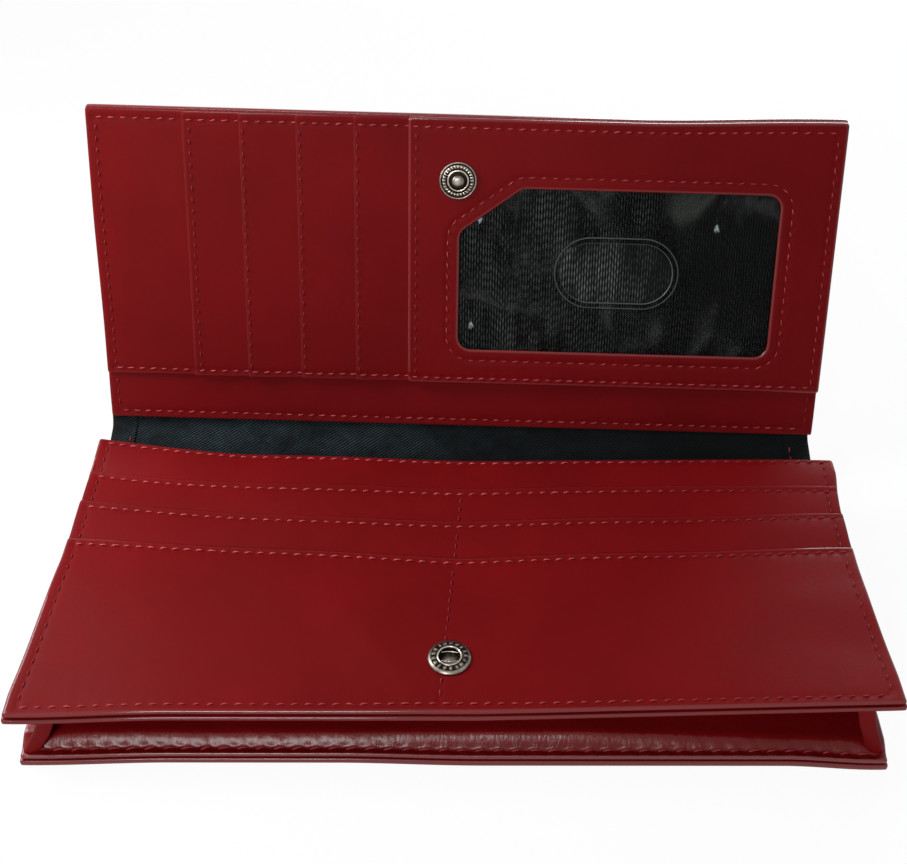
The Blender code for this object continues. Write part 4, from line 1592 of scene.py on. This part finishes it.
@dataclass
class Gussets:
    """The two leather side walls that fold inwards between the base and the card block.

    A wall's cross-section is a slanted line from foot to top with a soft V
    inwards, whose depth grows from the front over the fold's run. In front the
    wall turns inwards as a lip, and its top follows the block's soft shape.
    """

    leather: float = 0.6
    inset: float = 0.3
    foot_inset: float = 0.8
    top_inset: float = 5.2
    top_back: float = 1.5
    fold_depth: float = 4.5
    fold_run: float = 12.0
    front_share: float = 0.12
    low: float = 2.95
    high: float = 14.75
    front: float = -66.3
    back: float = 15.6
    lip: float = 3.6
    lip_run: float = 6.0
    lip_back: float = 0.9
    rim: float = 0.35
    softness: float = 0.02
    wave: tuple[float, float, float] = (0.22, 26.0, 9.0)

    def build(self, finishes: Finishes) -> None:
        """Make both walls.

        Args:
            finishes: The wallet's materials.
        """
        for side, end, seed in ((-1.0, "left", 71), (1.0, "right", 72)):
            piece = self.wall(side, f"gusset_wall_{end}", seed, finishes.smooth)
            ends = (0.0, 0.0, self.low * MM), (0.0, 0.0, self.high * MM)
            bridge(piece, (Body.BASE, Body.BLOCK), ends, "glossy_red_leather", f"gusset_{end}")

    def wall(self, side: float, name: str, seed: int, material: Material) -> Piece:
        """Make one wall.

        Args:
            side: -1 for the left and 1 for the right.
            name: The piece's name.
            seed: The seed of its waves.
            material: Its leather.

        Returns:
            The new piece.
        """
        length = self.back - self.front
        lip = np.linspace(-self.lip_run, 0.0, 13)[:-1]
        lines = np.concatenate([lip, spaced(0.0, length, 1.3, self.rim)[4:]])
        share, run = np.meshgrid(np.linspace(0.0, 1.0, 34), lines, indexing="ij")
        y = self.front + np.maximum(run, 0.0)
        grown = smooth_step(y, self.front, self.front + self.fold_run)
        grown = self.front_share + (1.0 - self.front_share) * grown
        vee = 1.0 - np.sqrt((2.0 * share - 1.0) ** 2 + self.softness)
        waves = Ripples(seed, *self.wave)(y, 12.0 * share) * np.sin(math.pi * share)
        turn = np.clip(-run / self.lip_run, 0.0, 1.0)
        inset = self.foot_inset + (self.top_inset - self.foot_inset) * share
        inset = inset + self.fold_depth * grown * vee + waves + self.lip * turn
        lean = self.top_back * share * (1.0 - smooth_step(run, 0.0, 12.0))
        y = y + self.lip_back * turn**2 + lean + self.inset
        y = y + BASE_SEAT.skew[0] * side * HALF_LENGTH * (1.0 - smooth_step(run, 0.0, 75.0))
        edge = np.minimum(run + self.lip_run, length - run)
        half = self.leather / 2 * rolled_off(edge, self.rim, 0.2)
        top = self.high + BlockSet().soft(side * (HALF_LENGTH - self.top_inset), y - BLOCK_SEAT.y)
        z = self.low + (top - self.low) * share
        slope = smooth_step(-run, 0.0, 1.2)
        outer, inner = (
            np.stack([side * (HALF_LENGTH - inset - self.inset + way * (1 - slope)), y - way * slope, z], -1)
            for way in (half, -half)
        )
        points, faces = shell(outer, inner) if side < 0 else shell(inner, outer)
        marks = {"edge_mm": np.tile(edge.ravel(), 2), "seam": np.zeros(2 * edge.size)}
        return new_piece(name, points, faces[:, ::-1].tolist(), material, marks)


@dataclass(frozen=True)
class BlockSet:
    """The set that the card block has taken in use, in millimetres.

    The middle dips, the ends rise, the front droops on the left and lifts on
    the right, and the back left corner curls up. Across the wallet the mouths'
    rows are drawn into a shallow V.
    """

    middle_dip: float = 1.0
    end_rise: float = 1.0
    droop: float = 1.4
    corner_droop: float = 1.4
    lift: float = 2.4
    curl: float = 4.8
    back_rise: float = 1.4
    left_depths: tuple[float, ...] = (0.0, 6.0, 12.0, 21.0, 30.0, 40.0, 60.0, 72.0, 81.5)
    left_draw: tuple[float, ...] = (-2.3, -2.1, -1.3, -0.4, 0.55, 1.45, 1.6, 1.6, 2.9)
    right_depths: tuple[float, ...] = (0.0, 8.0, 19.0, 28.0, 40.0, 63.0, 70.0, 76.0)
    right_draw: tuple[float, ...] = (1.2, 1.2, 0.65, 0.05, -0.5, -0.55, -0.1, 0.7)
    row_depths: tuple[float, float, float] = (43.8, 56.5, 68.5)

    def soft(self, x: Points, depth: Points) -> Points:
        """Return how far the block's sheets stand above flat."""
        x, depth = arrays(x, depth)
        behind = BLOCK_DEPTH - depth
        dip = -self.middle_dip * np.exp(-((x / 22.0) ** 2)) * (1.0 - smooth_step(behind, 42.0, 60.0))
        band = smooth_step(behind, 8.0, 25.0) * (1.0 - smooth_step(behind, 48.0, 66.0))
        ends = self.end_rise * smooth_step(np.abs(x), 50.0, 92.0) * band
        start = 73.0 - 28.0 * smooth_step(np.abs(x - SNAP_X), 6.0, 34.0)
        ramp = np.clip((behind - start) / (BLOCK_DEPTH - start), 0.0, 1.0)
        front = -self.droop - self.corner_droop * smooth_step(-x, 60.0, 92.0)
        front = (front + (self.droop + self.lift) * np.clip((x - 5.0) / 90.0, 0.0, 1.0)) * ramp**1.3
        a, b = np.clip((-55.0 - x) / 40.0, 0.0, 1.0), np.clip((12.5 - behind) / 12.5, 0.0, 1.0)
        back = self.back_rise * smooth_step(x, 25.0, 90.0) * (1.0 - smooth_step(behind, 4.0, 22.0))
        return dip + ends + front + back + self.curl * a**1.3 * b**1.3

    def spread(self, x: Points, depth: Points) -> Points:
        """Return how far the two ends are drawn sideways, by the depth."""
        x, depth = arrays(x, depth)
        left, right = (np.clip((side * x - 40.0) / 55.0, 0.0, 1.0) ** 1.5 for side in (-1.0, 1.0))
        drawn = left * np.interp(depth, self.left_depths, self.left_draw)
        return drawn + right * np.interp(depth, self.right_depths, self.right_draw)

    def shift(self, x: Points, depth: Points) -> Points:
        """Return how far the sheets are drawn back, from the shift of each row of stitches."""
        x, depth = arrays(x, depth)
        left, right = np.clip(-x / 90.0, 0.0, 1.05), np.clip(x / 90.0, 0.0, 1.05)
        outer = -0.3 + 3.2 * np.maximum(left, right) ** 0.8
        second = -0.4 + 3.2 * left**2.5 + 2.2 * right * 90.0 / 70.0
        first = -0.7 + 3.0 * left**5 + np.minimum(right * 90.0 / 55.0, 1.0)
        knots = (20.0, *self.row_depths, BLOCK_DEPTH)
        shares = [np.interp(depth, knots, row) for row in np.eye(len(knots))[1:4]]
        return outer * shares[0] + second * shares[1] + first * shares[2]


@dataclass
class CardBlock:
    """The raised block: underside, stiffener, three card mouths and the plain front panel."""

    set: BlockSet = field(default_factory=BlockSet)
    half_width: float = 94.6
    leather: float = 0.5
    front_leather: float = 0.7
    under_leather: float = 0.8
    under_keep: float = 0.62
    board: float = 0.6
    board_foot: float = 15.73
    board_half_width: float = 91.0
    board_span: Place = (4.0, 41.5)
    mouths: tuple[float, float, float] = (70.4, 58.6, 45.8)
    row_below_mouth: float = 1.95
    side_row: float = 92.0
    tail_drop: float = 1.07

    def build(self, finishes: Finishes) -> None:
        """Make the block's sheets and stitches.

        Args:
            finishes: The wallet's materials.
        """
        slot, shape = "smooth_red_leather", {"soft": self.set.soft, "spread": self.set.spread}
        under = Sheet(
            "block_underside", BLOCK_SEAT, -HALF_LENGTH, HALF_LENGTH, 0.0, BLOCK_DEPTH, BLOCK_UNDERSIDE,
            self.under_leather, corner=0.9, rim=0.62, pitch=(1.5, 2.2), dull_below=1.0, thick_start=0.5,
            thick_sides=0.7, thick_end=0.4, **shape,
        )
        leather = under.build(finishes.rolled)
        carry(leather, Body.BLOCK, slot, "block_under_panel")
        press(leather)
        size = -self.board_half_width, self.board_half_width, *self.board_span, self.board_foot, self.board
        board = Sheet("block_stiffener", BLOCK_SEAT, *size, pitch=(4.0, 4.0), **shape)
        carry(board.build(finishes.board), Body.BLOCK, "stiffener_board", "block_board")
        work = StitchWork("block_stitches", 81)
        for sheet, node in self.sheets():
            leather = finishes.rolled if sheet.name == "block_front" else finishes.smooth
            carry(sheet.build(leather), Body.BLOCK, slot, node)
            work.sew(sheet)
        carry(work.build(finishes.thread), Body.BLOCK, slot)

    def sheets(self) -> list[tuple[Sheet, str]]:
        """Return the block's visible sheets from back to front, with the CAD nodes they stand for."""
        first, second, third = self.mouths
        back = self.sheet("block_back", (69.8, 81.1), (16.0, 0.0), (80.0,), (first, 79.0))
        rows, shown = (third - self.row_below_mouth, 2.4), (3.4, third - 3.0)
        front = self.sheet("block_front", (0.4, third), (MOUTH_HEIGHT, 0.0), rows, shown, front=True)
        return [
            (back, "block_back_panel"),
            (self.pocket("block_pocket_1", 54.6, first, second), "block_card_pocket_1"),
            (self.pocket("block_pocket_2", 41.8, second, third), "block_card_pocket_2"),
            (front, "block_front_panel"),
        ]

    def pocket(self, name: str, tail: float, mouth: float, next_mouth: float) -> Sheet:
        """Return one card pocket, whose tail goes down under the next one."""
        rise = MOUTH_HEIGHT - self.tail_drop, self.tail_drop / (mouth - tail)
        rows, shown = (mouth - self.row_below_mouth,), (next_mouth, mouth - 3.0)
        return self.sheet(name, (tail, mouth), rise, rows, shown)

    def sheet(
        self, name: str, span: Place, rise: Place, rows: tuple, shown: Place, front: bool = False
    ) -> Sheet:
        """Return one sheet of the block.

        Args:
            name: The piece's name.
            span: The depths of its front and back edges.
            rise: Its lower face's height at the front edge, and its rise per millimetre of depth.
            rows: The depths of its rows along the wallet.
            shown: Where its side rows and its middle seam start and end.
            front: Whether it is the front panel.

        Returns:
            The sheet.
        """
        strong = {"pull": 0.3, "width": 0.9, "tone": 0.95} if front else {"pull": 0.13, "tone": 0.9}
        # these rows' thread is painted darker towards the right end as shade
        along = [Seam(Run.ALONG, row, -92.6, 92.6, fade=0.75, **strong) for row in rows[:1]]
        along += [Seam(Run.ALONG, row, -92.0, 92.0, pull=0.12, tone=0.55, fade=0.6) for row in rows[1:]]
        side = {"pull": 0.14, "width": 0.6, "tone": 0.2, "slant": 0.0, "groove": 0.35}
        sides = [Seam(Run.ACROSS, place * self.side_row, *shown, **side) for place in (-1.0, 1.0)]
        middle = Seam(Run.ACROSS, -3.8, *shown, bend=middle_line, **side)
        seams = (*along, *sides) if name == "block_back" else (*along, *sides, middle)
        leather = self.front_leather if front else self.leather
        turned = {"rim": 0.62, "thick_start": -0.5, "thick_sides": -0.5}
        cut = {"rim": 0.3, "thick_sides": -0.3}
        return Sheet(
            name, BLOCK_SEAT, -self.half_width, self.half_width, *span, rise[0], leather, pitch=(0.85, 1.5),
            slope=(0.0, rise[1]), seams=seams, dull_below=1.0, **(turned if front else cut),
            soft=self.set.soft, spread=self.set.spread, shift=self.set.shift,
            relief=Puff(shown[0], span[1] if front else rows[0], 0.16, bore=0.95 if front else 0.0),
        )


def middle_line(x: Points, depth: Points) -> Points:
    """Return how far right the block's middle seam has run at a depth."""
    return MIDDLE_DRIFT * np.asarray(depth, float) / MIDDLE_REACH


@dataclass(frozen=True)
class Puff:
    """The fullness of leather between two rows: height * sin(pi * share)^0.7, with slow waves.

    The bore is how far the leather is pressed down inside the snap's socket.
    """

    start: float
    end: float
    height: float
    bore: float = 0.0

    def __call__(self, x: Points, depth: Points) -> Points:
        """Return the fullness at each point."""
        share = np.clip((depth - self.start) / (self.end - self.start), 0.0, 1.0)
        waves = Ripples(91, 0.07, 70.0, 22.0)(x, depth)
        pressed = self.bore * (1.0 - smooth_step(np.hypot(x - SNAP_X, depth - SOCKET_DEPTH), 2.4, 3.8))
        return (self.height + waves) * np.sin(math.pi * share) ** 0.7 - pressed


@dataclass
class Lid:
    """The lid's inside: strip, left panel, four upright pockets and the window's panel."""

    set: LidSet = field(default_factory=LidSet)
    half_width: float = 94.6
    end: float = 84.8
    leather: float = 0.5
    front_leather: float = 0.7
    mouths: tuple[float, ...] = (-71.0, -56.7, -42.5, -28.0, -14.2)
    rows_in: tuple[float, ...] = (1.8, 0.9, 1.0, 0.9, 2.0)
    overlap: float = 4.0
    step: float = 0.8
    foot_row: float = 16.5
    top_row: float = 82.5
    side_row: float = 92.2
    pitch: float = 2.95

    def build(self, frame: dict, finishes: Finishes) -> None:
        """Make the lid's sheets and stitches, and dress its board.

        Args:
            frame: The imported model.
            finishes: The wallet's materials.
        """
        slot = "smooth_red_leather"
        frame["nodes"]["lid_board"].material_slots[0].material = finishes.board
        work = StitchWork("lid_stitches", 101, half_length=0.78, radius=0.145)
        for sheet, node in self.sheets():
            carry(sheet.build(finishes.smooth), Body.LID, slot, node)
            work.sew(sheet)
        window = Window()
        panel = window.panel(self)
        carry(panel.build(finishes.rolled), Body.LID, slot, "window_panel")
        work.sew(panel)
        work.sew_round(panel, self.pitch, 0.5)
        carry(work.build(finishes.thread), Body.LID, slot)
        window.build(finishes)

    def shape(self) -> dict:
        """Return the soft shape that the lid's sheets share, as Sheet's fields."""
        return {"relief": self.waves, "spread": self.set.spread, "shift": self.set.shift}

    def rows(self, left: float, right: float) -> tuple[Seam, ...]:
        """Return the foot row and the top row over a stretch of the lid."""
        looks = (self.foot_row, 0.8), (self.top_row, 0.72)
        return tuple(Seam(Run.ALONG, row, left, right, self.pitch, tone=tone) for row, tone in looks)

    def upright(self, x: float, **look: float) -> Seam:
        """Return one upright row of stitches, from the foot row to the top row."""
        return Seam(Run.ACROSS, x, self.foot_row, self.top_row, self.pitch, **look)

    def sheets(self) -> list[tuple[Sheet, str]]:
        """Return the strip, the left panel and the pockets, with the CAD nodes they stand for."""
        side = {"pull": 0.1, "tone": 0.12, "slant": 0.0, "groove": 0.2}
        ends = (Seam(Run.ACROSS, x, 5.0, PANEL_START - 0.5, **side) for x in (-self.side_row, self.side_row))
        shape = self.shape() | {"relief": Puff(4.0, 16.0, 0.12)}
        strip = Sheet(
            "lid_strip", LID_SHEET_SEAT, -self.half_width, self.half_width, STRIP_START, self.end,
            LID_STRIP_FOOT, self.leather, pitch=(0.9, 2.0), **shape, thick_start=-0.3, thick_end=-0.5,
            thick_sides=-0.5, seams=(Seam(Run.ALONG, 4.0, -92.0, 92.0, self.pitch, tone=0.7), *ends),
        )
        left = Sheet(
            "lid_left", LID_SHEET_SEAT, -self.half_width, self.mouths[0] + 0.6, PANEL_START, self.end,
            LID_MOUTH_HEIGHT - self.step, self.leather, **self.shape(), thick_sides=-0.4,
            seams=(*self.rows(-92.6, self.mouths[0]), self.upright(-self.side_row, **side)),
        )
        made = [(strip, "lid_strip_panel"), (left, "lid_left_panel")]
        for index in range(4):
            made.append((self.pocket(index), f"lid_card_pocket_{index + 1}"))
        return made

    def pocket(self, index: int) -> Sheet:
        """Return one upright pocket, whose tail goes down to the right under the next one."""
        mouth, after = self.mouths[index], self.mouths[index + 1]
        row = self.upright(mouth + self.rows_in[index], pull=0.05, tone=0.1, groove=0.12)
        return Sheet(
            f"lid_pocket_{index + 1}", LID_SHEET_SEAT, mouth, after + self.overlap, PANEL_START, self.end,
            LID_MOUTH_HEIGHT, self.leather, rim=0.25, slope=(-self.step / (after - mouth), 0.0),
            seams=(*self.rows(mouth + 0.5, after), row), **self.shape(), thick_end=-0.3,
        )

    def waves(self, x: Points, depth: Points) -> Points:
        """Return the shallow waves that all of the lid's sheets share."""
        return Ripples(111, 0.06, 60.0, 20.0)(x, depth)


@dataclass
class Window:
    """The card window: its panel's opening, the clear film with a thumb slot, and the mesh behind.

    A tuck is a ring-shaped ridge in the film, as x, depth, radius and height.
    """

    left: float = -1.0
    right: float = 80.6
    low: float = 24.5
    high: float = 67.5
    chamfer: Place = (15.8, 12.0)
    chamfer_ease: Place = (0.36, 0.4)
    corner: float = 3.5
    seam: float = 3.0
    slot_size: Place = (29.0, 15.6)
    film: float = 0.2
    film_foot: float = 2.532
    backing: float = 0.25
    backing_foot: float = 2.0
    rim: float = 0.12
    tuck_squeeze: float = 0.7
    tucks: tuple[tuple[float, float, float, float], ...] = (
        (2.2, 31.0, 1.1, 0.3), (4.0, 59.5, 1.4, 0.3), (11.5, 65.5, 0.9, 0.25), (65.0, 58.5, 1.2, 0.16),
    )

    def opening(self) -> Outline:
        """Return the opening: a rectangle with one corner cut off and the others round."""
        inset = self.corner
        left, right, low, high = self.left + inset, self.right - inset, self.low + inset, self.high - inset
        cut_x = self.left + self.chamfer[0] + inset * self.chamfer_ease[0]
        cut_depth = self.high - self.chamfer[1] - inset * self.chamfer_ease[1]
        return Outline(((left, low), (right, low), (right, high), (cut_x, high), (left, cut_depth)), inset)

    def panel(self, lid: Lid) -> FramedSheet:
        """Return the right panel, which frames the opening.

        Args:
            lid: The lid that the panel belongs to.

        Returns:
            The panel.
        """
        edge, side = lid.mouths[-1], lid.side_row
        inner = lid.upright(edge + lid.rows_in[-1], pull=0.05, tone=0.12, groove=0.15)
        return FramedSheet(
            "window_frame", LID_SHEET_SEAT, edge, lid.half_width, PANEL_START, lid.end, LID_MOUTH_HEIGHT,
            lid.front_leather, seams=(*lid.rows(edge + 0.5, side), inner, lid.upright(side, tone=0.4)),
            **lid.shape(), thick_sides=-0.3, thick_end=-0.75, hole=self.opening(), row=self.seam,
        )

    def build(self, finishes: Finishes) -> None:
        """Make the film and the backing.

        Args:
            finishes: The wallet's materials.
        """
        x, depth = (self.left + self.right) / 2, (self.low + self.high) / 2
        radius = self.slot_size[1] / 2
        reach = self.slot_size[0] / 2 - radius
        sides = self.left - self.seam, self.right + self.seam, self.low - self.seam, self.high + self.seam
        # the film carries the tucks' painted glints in its seam mark
        film = FramedSheet(
            "window_film", LID_SHEET_SEAT, *sides, self.film_foot, self.film, rim=self.rim,
            relief=self.film_waves, painted_glint=self.painted_glints, around=360, across=56,
            hole=Outline(((x - reach, depth), (x + reach, depth)), radius),
            ridges=((0.35, 0.3, 0.3), (1.45, 0.26, 0.35)),
        )
        carry(film.build(finishes.vinyl), Body.LID, "clear_vinyl", "window_vinyl")
        backing = Sheet(
            "window_mesh", LID_SHEET_SEAT, *sides, self.backing_foot, self.backing, rim=self.rim,
            pitch=(2.5, 2.5), relief=Ripples(121, 0.04, 30.0, 12.0),
        ).build(finishes.mesh)
        carry(backing, Body.LID, "black_mesh_lining", "window_backing")

    def tuck_distance(self, x: Points, depth: Points, place: float, across: float) -> Points:
        """Return the distance from a tuck's middle, measured shorter across the wallet."""
        return np.hypot(x - place, (depth - across) * self.tuck_squeeze)

    def film_waves(self, x: Points, depth: Points) -> Points:
        """Return the film's slack, which swells away from the opening's edges, and its tucks."""
        inside = smooth_step(-self.opening().outside(x, depth), 0.0, 8.0)
        height = Ripples(131, 0.12, 34.0, 12.0)(x, depth) * inside
        for place, across, size, rise in self.tucks:
            away = self.tuck_distance(x, depth, place, across)
            height = height + rise * np.exp(-(((away - size) / (0.45 * size)) ** 2))
        return height

    def painted_glints(self, x: Points, depth: Points) -> Points:
        """Return how strongly each tuck's painted glint shows on the film: exp(-(distance / size)^2)."""
        away = [self.tuck_distance(x, depth, *middle) / size for *middle, size, _ in self.tucks]
        return np.exp(-(np.minimum.reduce(away) ** 2))


STUD_RING = (
    (2.0, -0.1, 1.0), (4.6, -0.1, 1.0), (4.75, 0.1, 0.4), (4.75, 0.34, 0.35), (4.62, 0.5, 0.3),
    (4.4, 0.5, 0.3), (4.25, 0.34, 0.9), (4.12, 0.3, 1.0), (3.98, 0.46, 0.4), (3.8, 0.6, 0.1),
    (3.4, 0.66, 0.1), (3.15, 0.56, 0.4), (3.0, 0.32, 1.0), (2.86, 0.34, 0.9), (2.74, 0.62, 0.1),
    (2.5, 0.7, 0.0), (2.3, 0.6, 0.1), (2.2, 0.3, 0.8), (2.1, -0.1, 1.0), (2.0, -0.1, 1.0),
)
STUD_BALL = (
    (0.0, -0.85, 1.0), (2.6, -0.85, 1.0), (2.6, 0.0, 1.0), (2.1, 0.1, 1.0), (1.35, 0.16, 0.9),
    (1.2, 0.4, 0.7), (1.35, 0.7, 0.6), (1.55, 0.95, 0.5), (1.6, 1.25, 0.45), (1.5, 1.5, 0.4),
    (1.25, 1.7, 0.35), (0.95, 1.82, 0.3), (0.6, 1.88, 0.2), (0.3, 1.9, 0.1), (0.0, 1.9, 0.1),
)
SOCKET_RING = (
    (2.35, 0.0, 1.0), (4.7, 0.0, 0.8), (4.85, 0.18, 0.5), (4.8, 0.4, 0.4), (4.6, 0.6, 0.3),
    (4.3, 0.8, 0.35), (4.1, 0.86, 0.6), (3.6, 0.98, 0.5), (3.2, 1.02, 0.5), (3.0, 1.0, 0.65),
    (2.88, 0.98, 0.7), (2.75, 1.14, 0.05), (2.55, 1.18, 0.0), (2.4, 1.08, 0.1), (2.32, 0.8, 0.6),
    (2.3, 0.4, 1.0), (2.3, 0.0, 1.0), (2.35, 0.0, 1.0),
)
SOCKET_CUP = (
    (0.0, -1.15, 1.0), (3.7, -1.15, 1.0), (3.7, -0.85, 1.0), (2.25, -0.8, 1.0), (2.2, 0.3, 0.8),
    (2.1, 0.34, 0.5), (2.0, 0.2, 0.8), (1.9, -0.3, 0.9), (1.6, -0.45, 0.6), (0.9, -0.4, 0.35),
    (0.4, -0.36, 0.3), (0.0, -0.36, 0.3),
)


@dataclass
class Snap:
    """The two halves of the snap fastener: the stud on the lid and the socket on the block."""

    stud_seat: float = 3.882
    socket_seat: float = 17.55
    teeth: int = 28
    bore: float = 2.1
    wire: float = 0.13
    wire_share: float = 0.85
    wire_gap: float = 1.15
    wire_bow: float = 0.25
    wire_height: float = 0.62
    wire_rings: int = 14
    wire_round: int = 8

    def build(self, finishes: Finishes) -> None:
        """Make both halves.

        Args:
            finishes: The wallet's materials.
        """
        slot = "antique_nickel"
        stud = LID_SEAT, SNAP_X, SNAP_DEPTH, self.stud_seat
        socket = BLOCK_SEAT, SNAP_X, SOCKET_DEPTH, self.socket_seat
        rings = (
            (Turned("stud_ring_face", *stud, STUD_RING, self.stamp_teeth), Body.LID, "stud_ring"),
            (Turned("stud_ball", *stud, STUD_BALL), Body.LID, "stud_post"),
            (Turned("socket_ring_face", *socket, SOCKET_RING, self.stamp_dashes), Body.BLOCK, "socket_ring"),
            (Turned("socket_cup", *socket, SOCKET_CUP), Body.BLOCK, "socket_rivet"),
        )
        for ring, body, node in rings:
            carry(ring.build(finishes.nickel), body, slot, node)
        wires = self.spring().reshape(-1, 3)
        shape = 2, self.wire_rings, self.wire_round
        places = np.arange(math.prod(shape)).reshape(shape)
        after = np.roll(places, -1, axis=2)
        quads = np.stack([places[:, :-1], after[:, :-1], after[:, 1:], places[:, 1:]], -1)
        faces = quads.reshape(-1, 4).tolist() + np.concatenate([places[:, 0, ::-1], places[:, -1]]).tolist()
        marks = {"hollow": np.full(len(wires), 0.1)}
        piece = new_piece("socket_wires", wires, faces, finishes.nickel, marks)
        carry(piece, Body.BLOCK, slot, "socket_spring")

    def spring(self) -> Points:
        """Return two wires bowed across the bore, as two by rings by round by three."""
        share = np.linspace(-1.0, 1.0, self.wire_rings)
        angle = np.arange(self.wire_round) * math.tau / self.wire_round
        bow = self.wire_gap + self.wire_bow * (1.0 - share**2)
        middle = np.stack([self.bore * share * self.wire_share, bow, np.zeros_like(share)], -1)
        ring = np.stack([np.zeros_like(angle), np.cos(angle), np.sin(angle)], -1) * self.wire
        one = middle[:, None] + ring[None]
        two = (one * np.array([1.0, -1.0, 1.0]))[:, ::-1]
        height = self.socket_seat + self.wire_height
        return np.stack([one, two]) + np.array([SNAP_X, BLOCK_SEAT.y + SOCKET_DEPTH, height])

    def stamp_teeth(self, radius: Points, angle: Points) -> Points:
        """Return the knurled band: 0.14 * cos(teeth * angle), inside the band only."""
        band = smooth_step(radius, 3.1, 3.3) * (1.0 - smooth_step(radius, 3.75, 3.98))
        return 0.14 * np.clip(2.0 * np.cos(self.teeth * angle), -1.0, 1.0) * band

    def stamp_dashes(self, radius: Points, angle: Points) -> Points:
        """Return the band of raised dashes, rubbed down by use, which are uneven in length."""
        band = smooth_step(radius, 3.1, 3.3) * (1.0 - smooth_step(radius, 3.9, 4.1))
        beat = np.cos(17 * angle) + 0.6 * np.cos(31 * angle + 1.0) + 0.4 * np.cos(7 * angle)
        return 0.07 * np.clip(2.2 * beat, -1.0, 1.0) * band


@dataclass
class Studio:
    """The plain table, the soft light and the camera."""

    eye: tuple[float, float, float] = (-0.64, -247.88, 253.08)
    pitch: float = 40.859
    yaw: float = -0.226
    roll: float = 0.822
    focal_px: float = 1377.8
    sensor_mm: float = 36.0
    fill: float = 0.09
    backdrop: float = 0.97
    floor_glow: float = 0.94
    floor_reach: float = 20.0

    def build(self) -> None:
        """Make the camera, the lights, the world and the floor."""
        self.camera()
        self.lamp("key", (-0.24, 0.042, 0.215), (0.14, 0.14), 1.0)
        self.lamp("front", (-0.13, -0.5, 0.4), (0.2, 0.1), 1.9)
        self.lamp("back", (0.25, 0.6, 0.22), (0.4, 0.4), 3.6)
        self.world()
        self.floor()

    def camera(self) -> None:
        """Make the camera from its pitch, yaw and roll, in the photograph's frame."""
        pitch, yaw, roll = (math.radians(turn) for turn in (self.pitch, self.yaw, self.roll))
        level = math.cos(pitch)
        ahead = Vector((math.sin(yaw) * level, math.cos(yaw) * level, -math.sin(pitch)))
        right = Vector((math.cos(yaw), -math.sin(yaw), 0.0))
        up = right.cross(ahead)
        across = right * math.cos(roll) + up * math.sin(roll)
        upright = up * math.cos(roll) - right * math.sin(roll)
        lens = bpy.data.cameras.new("camera")
        lens.sensor_width = self.sensor_mm
        lens.lens = self.focal_px / IMAGE_WIDTH * self.sensor_mm
        lens.clip_start = 0.01
        eye = bpy.data.objects.new("camera", lens)
        turn = Matrix((across, upright, -ahead)).transposed().to_4x4()
        eye.matrix_world = Matrix.Translation(Vector(self.eye) * MM) @ turn
        bpy.context.scene.collection.objects.link(eye)
        bpy.context.scene.camera = eye

    def lamp(self, name: str, place: tuple[float, float, float], size: Place, power: float) -> None:
        """Make a soft light, as wide and as high as its size says, that faces the wallet."""
        light = bpy.data.lights.new(name, "AREA")
        light.shape = "RECTANGLE"
        light.size, light.size_y = size
        light.energy = power
        lamp = bpy.data.objects.new(name, light)
        aim = Vector((0.0, 0.0, 0.02)) - Vector(place)
        turn = aim.to_track_quat("-Z", "Y").to_matrix().to_4x4()
        lamp.matrix_world = Matrix.Translation(Vector(place)) @ turn
        bpy.context.scene.collection.objects.link(lamp)

    def world(self) -> None:
        """Make a low even light from all round, which the camera and mirrors see as a white backdrop."""
        world = bpy.data.worlds.new("studio")
        world.use_nodes = True
        bpy.context.scene.world = world
        tree = world.node_tree
        strength = add_node(tree, "MapRange", {0: self.seen(tree), 3: self.fill, 4: self.backdrop})
        feed(tree, tree.nodes["Background"], {"Color": WHITE, "Strength": strength})

    def seen(self, tree: Tree) -> Socket:
        """Return 1 or more for rays from the camera, off a mirror or through a clear film."""
        rays = add_node(tree, "LightPath").node.outputs
        bounced = {0: rays["Is Glossy Ray"], 1: rays["Is Transmission Ray"]}
        mirror = add_node(tree, "Math", bounced, operation="ADD")
        return add_node(tree, "Math", {0: rays["Is Camera Ray"], 1: mirror}, operation="ADD")

    def floor(self) -> None:
        """Make the pale table top, which keeps the wallet's shadow."""
        reach = self.floor_reach
        corners = [(-reach, -reach, 0.0), (reach, -reach, 0.0), (reach, reach, 0.0), (-reach, reach, 0.0)]
        mesh = bpy.data.meshes.new("table_top")
        mesh.from_pydata(corners, [], [(0, 1, 2, 3)])
        top = bpy.data.objects.new("table_top", mesh)
        bpy.context.scene.collection.objects.link(top)
        made = bpy.data.materials.new("white table paper")
        made.use_nodes = True
        tree = made.node_tree
        paper = tree.nodes["Principled BSDF"]
        feed(tree, paper, {"Base Color": (0.9, 0.9, 0.9, 1.0), "Roughness": 0.9, "Specular IOR Level": 0.1})
        glow = add_node(tree, "Emission", {"Color": WHITE, "Strength": 1.0})
        lit = {0: self.seen(tree), 1: self.floor_glow}
        share = add_node(tree, "Math", lit, operation="MULTIPLY", use_clamp=True)
        mix = add_node(tree, "MixShader", {0: share, 1: paper.outputs[0], 2: glow})
        feed(tree, tree.nodes["Material Output"], {"Surface": mix})
        mesh.materials.append(made)


def main() -> None:
    """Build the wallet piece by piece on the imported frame."""
    logging.basicConfig(level=logging.INFO, format="%(name)s: %(message)s")
    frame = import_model()
    bpy.context.scene.view_settings.view_transform = "Standard"
    finishes = Finishes()
    Studio().build()
    Cover().build(finishes)
    Lining().build(finishes)
    Base().build(frame, finishes)
    Gussets().build(finishes)
    CardBlock().build(finishes)
    Lid().build(frame, finishes)
    Snap().build(finishes)


if __name__ == "__main__":
    main()
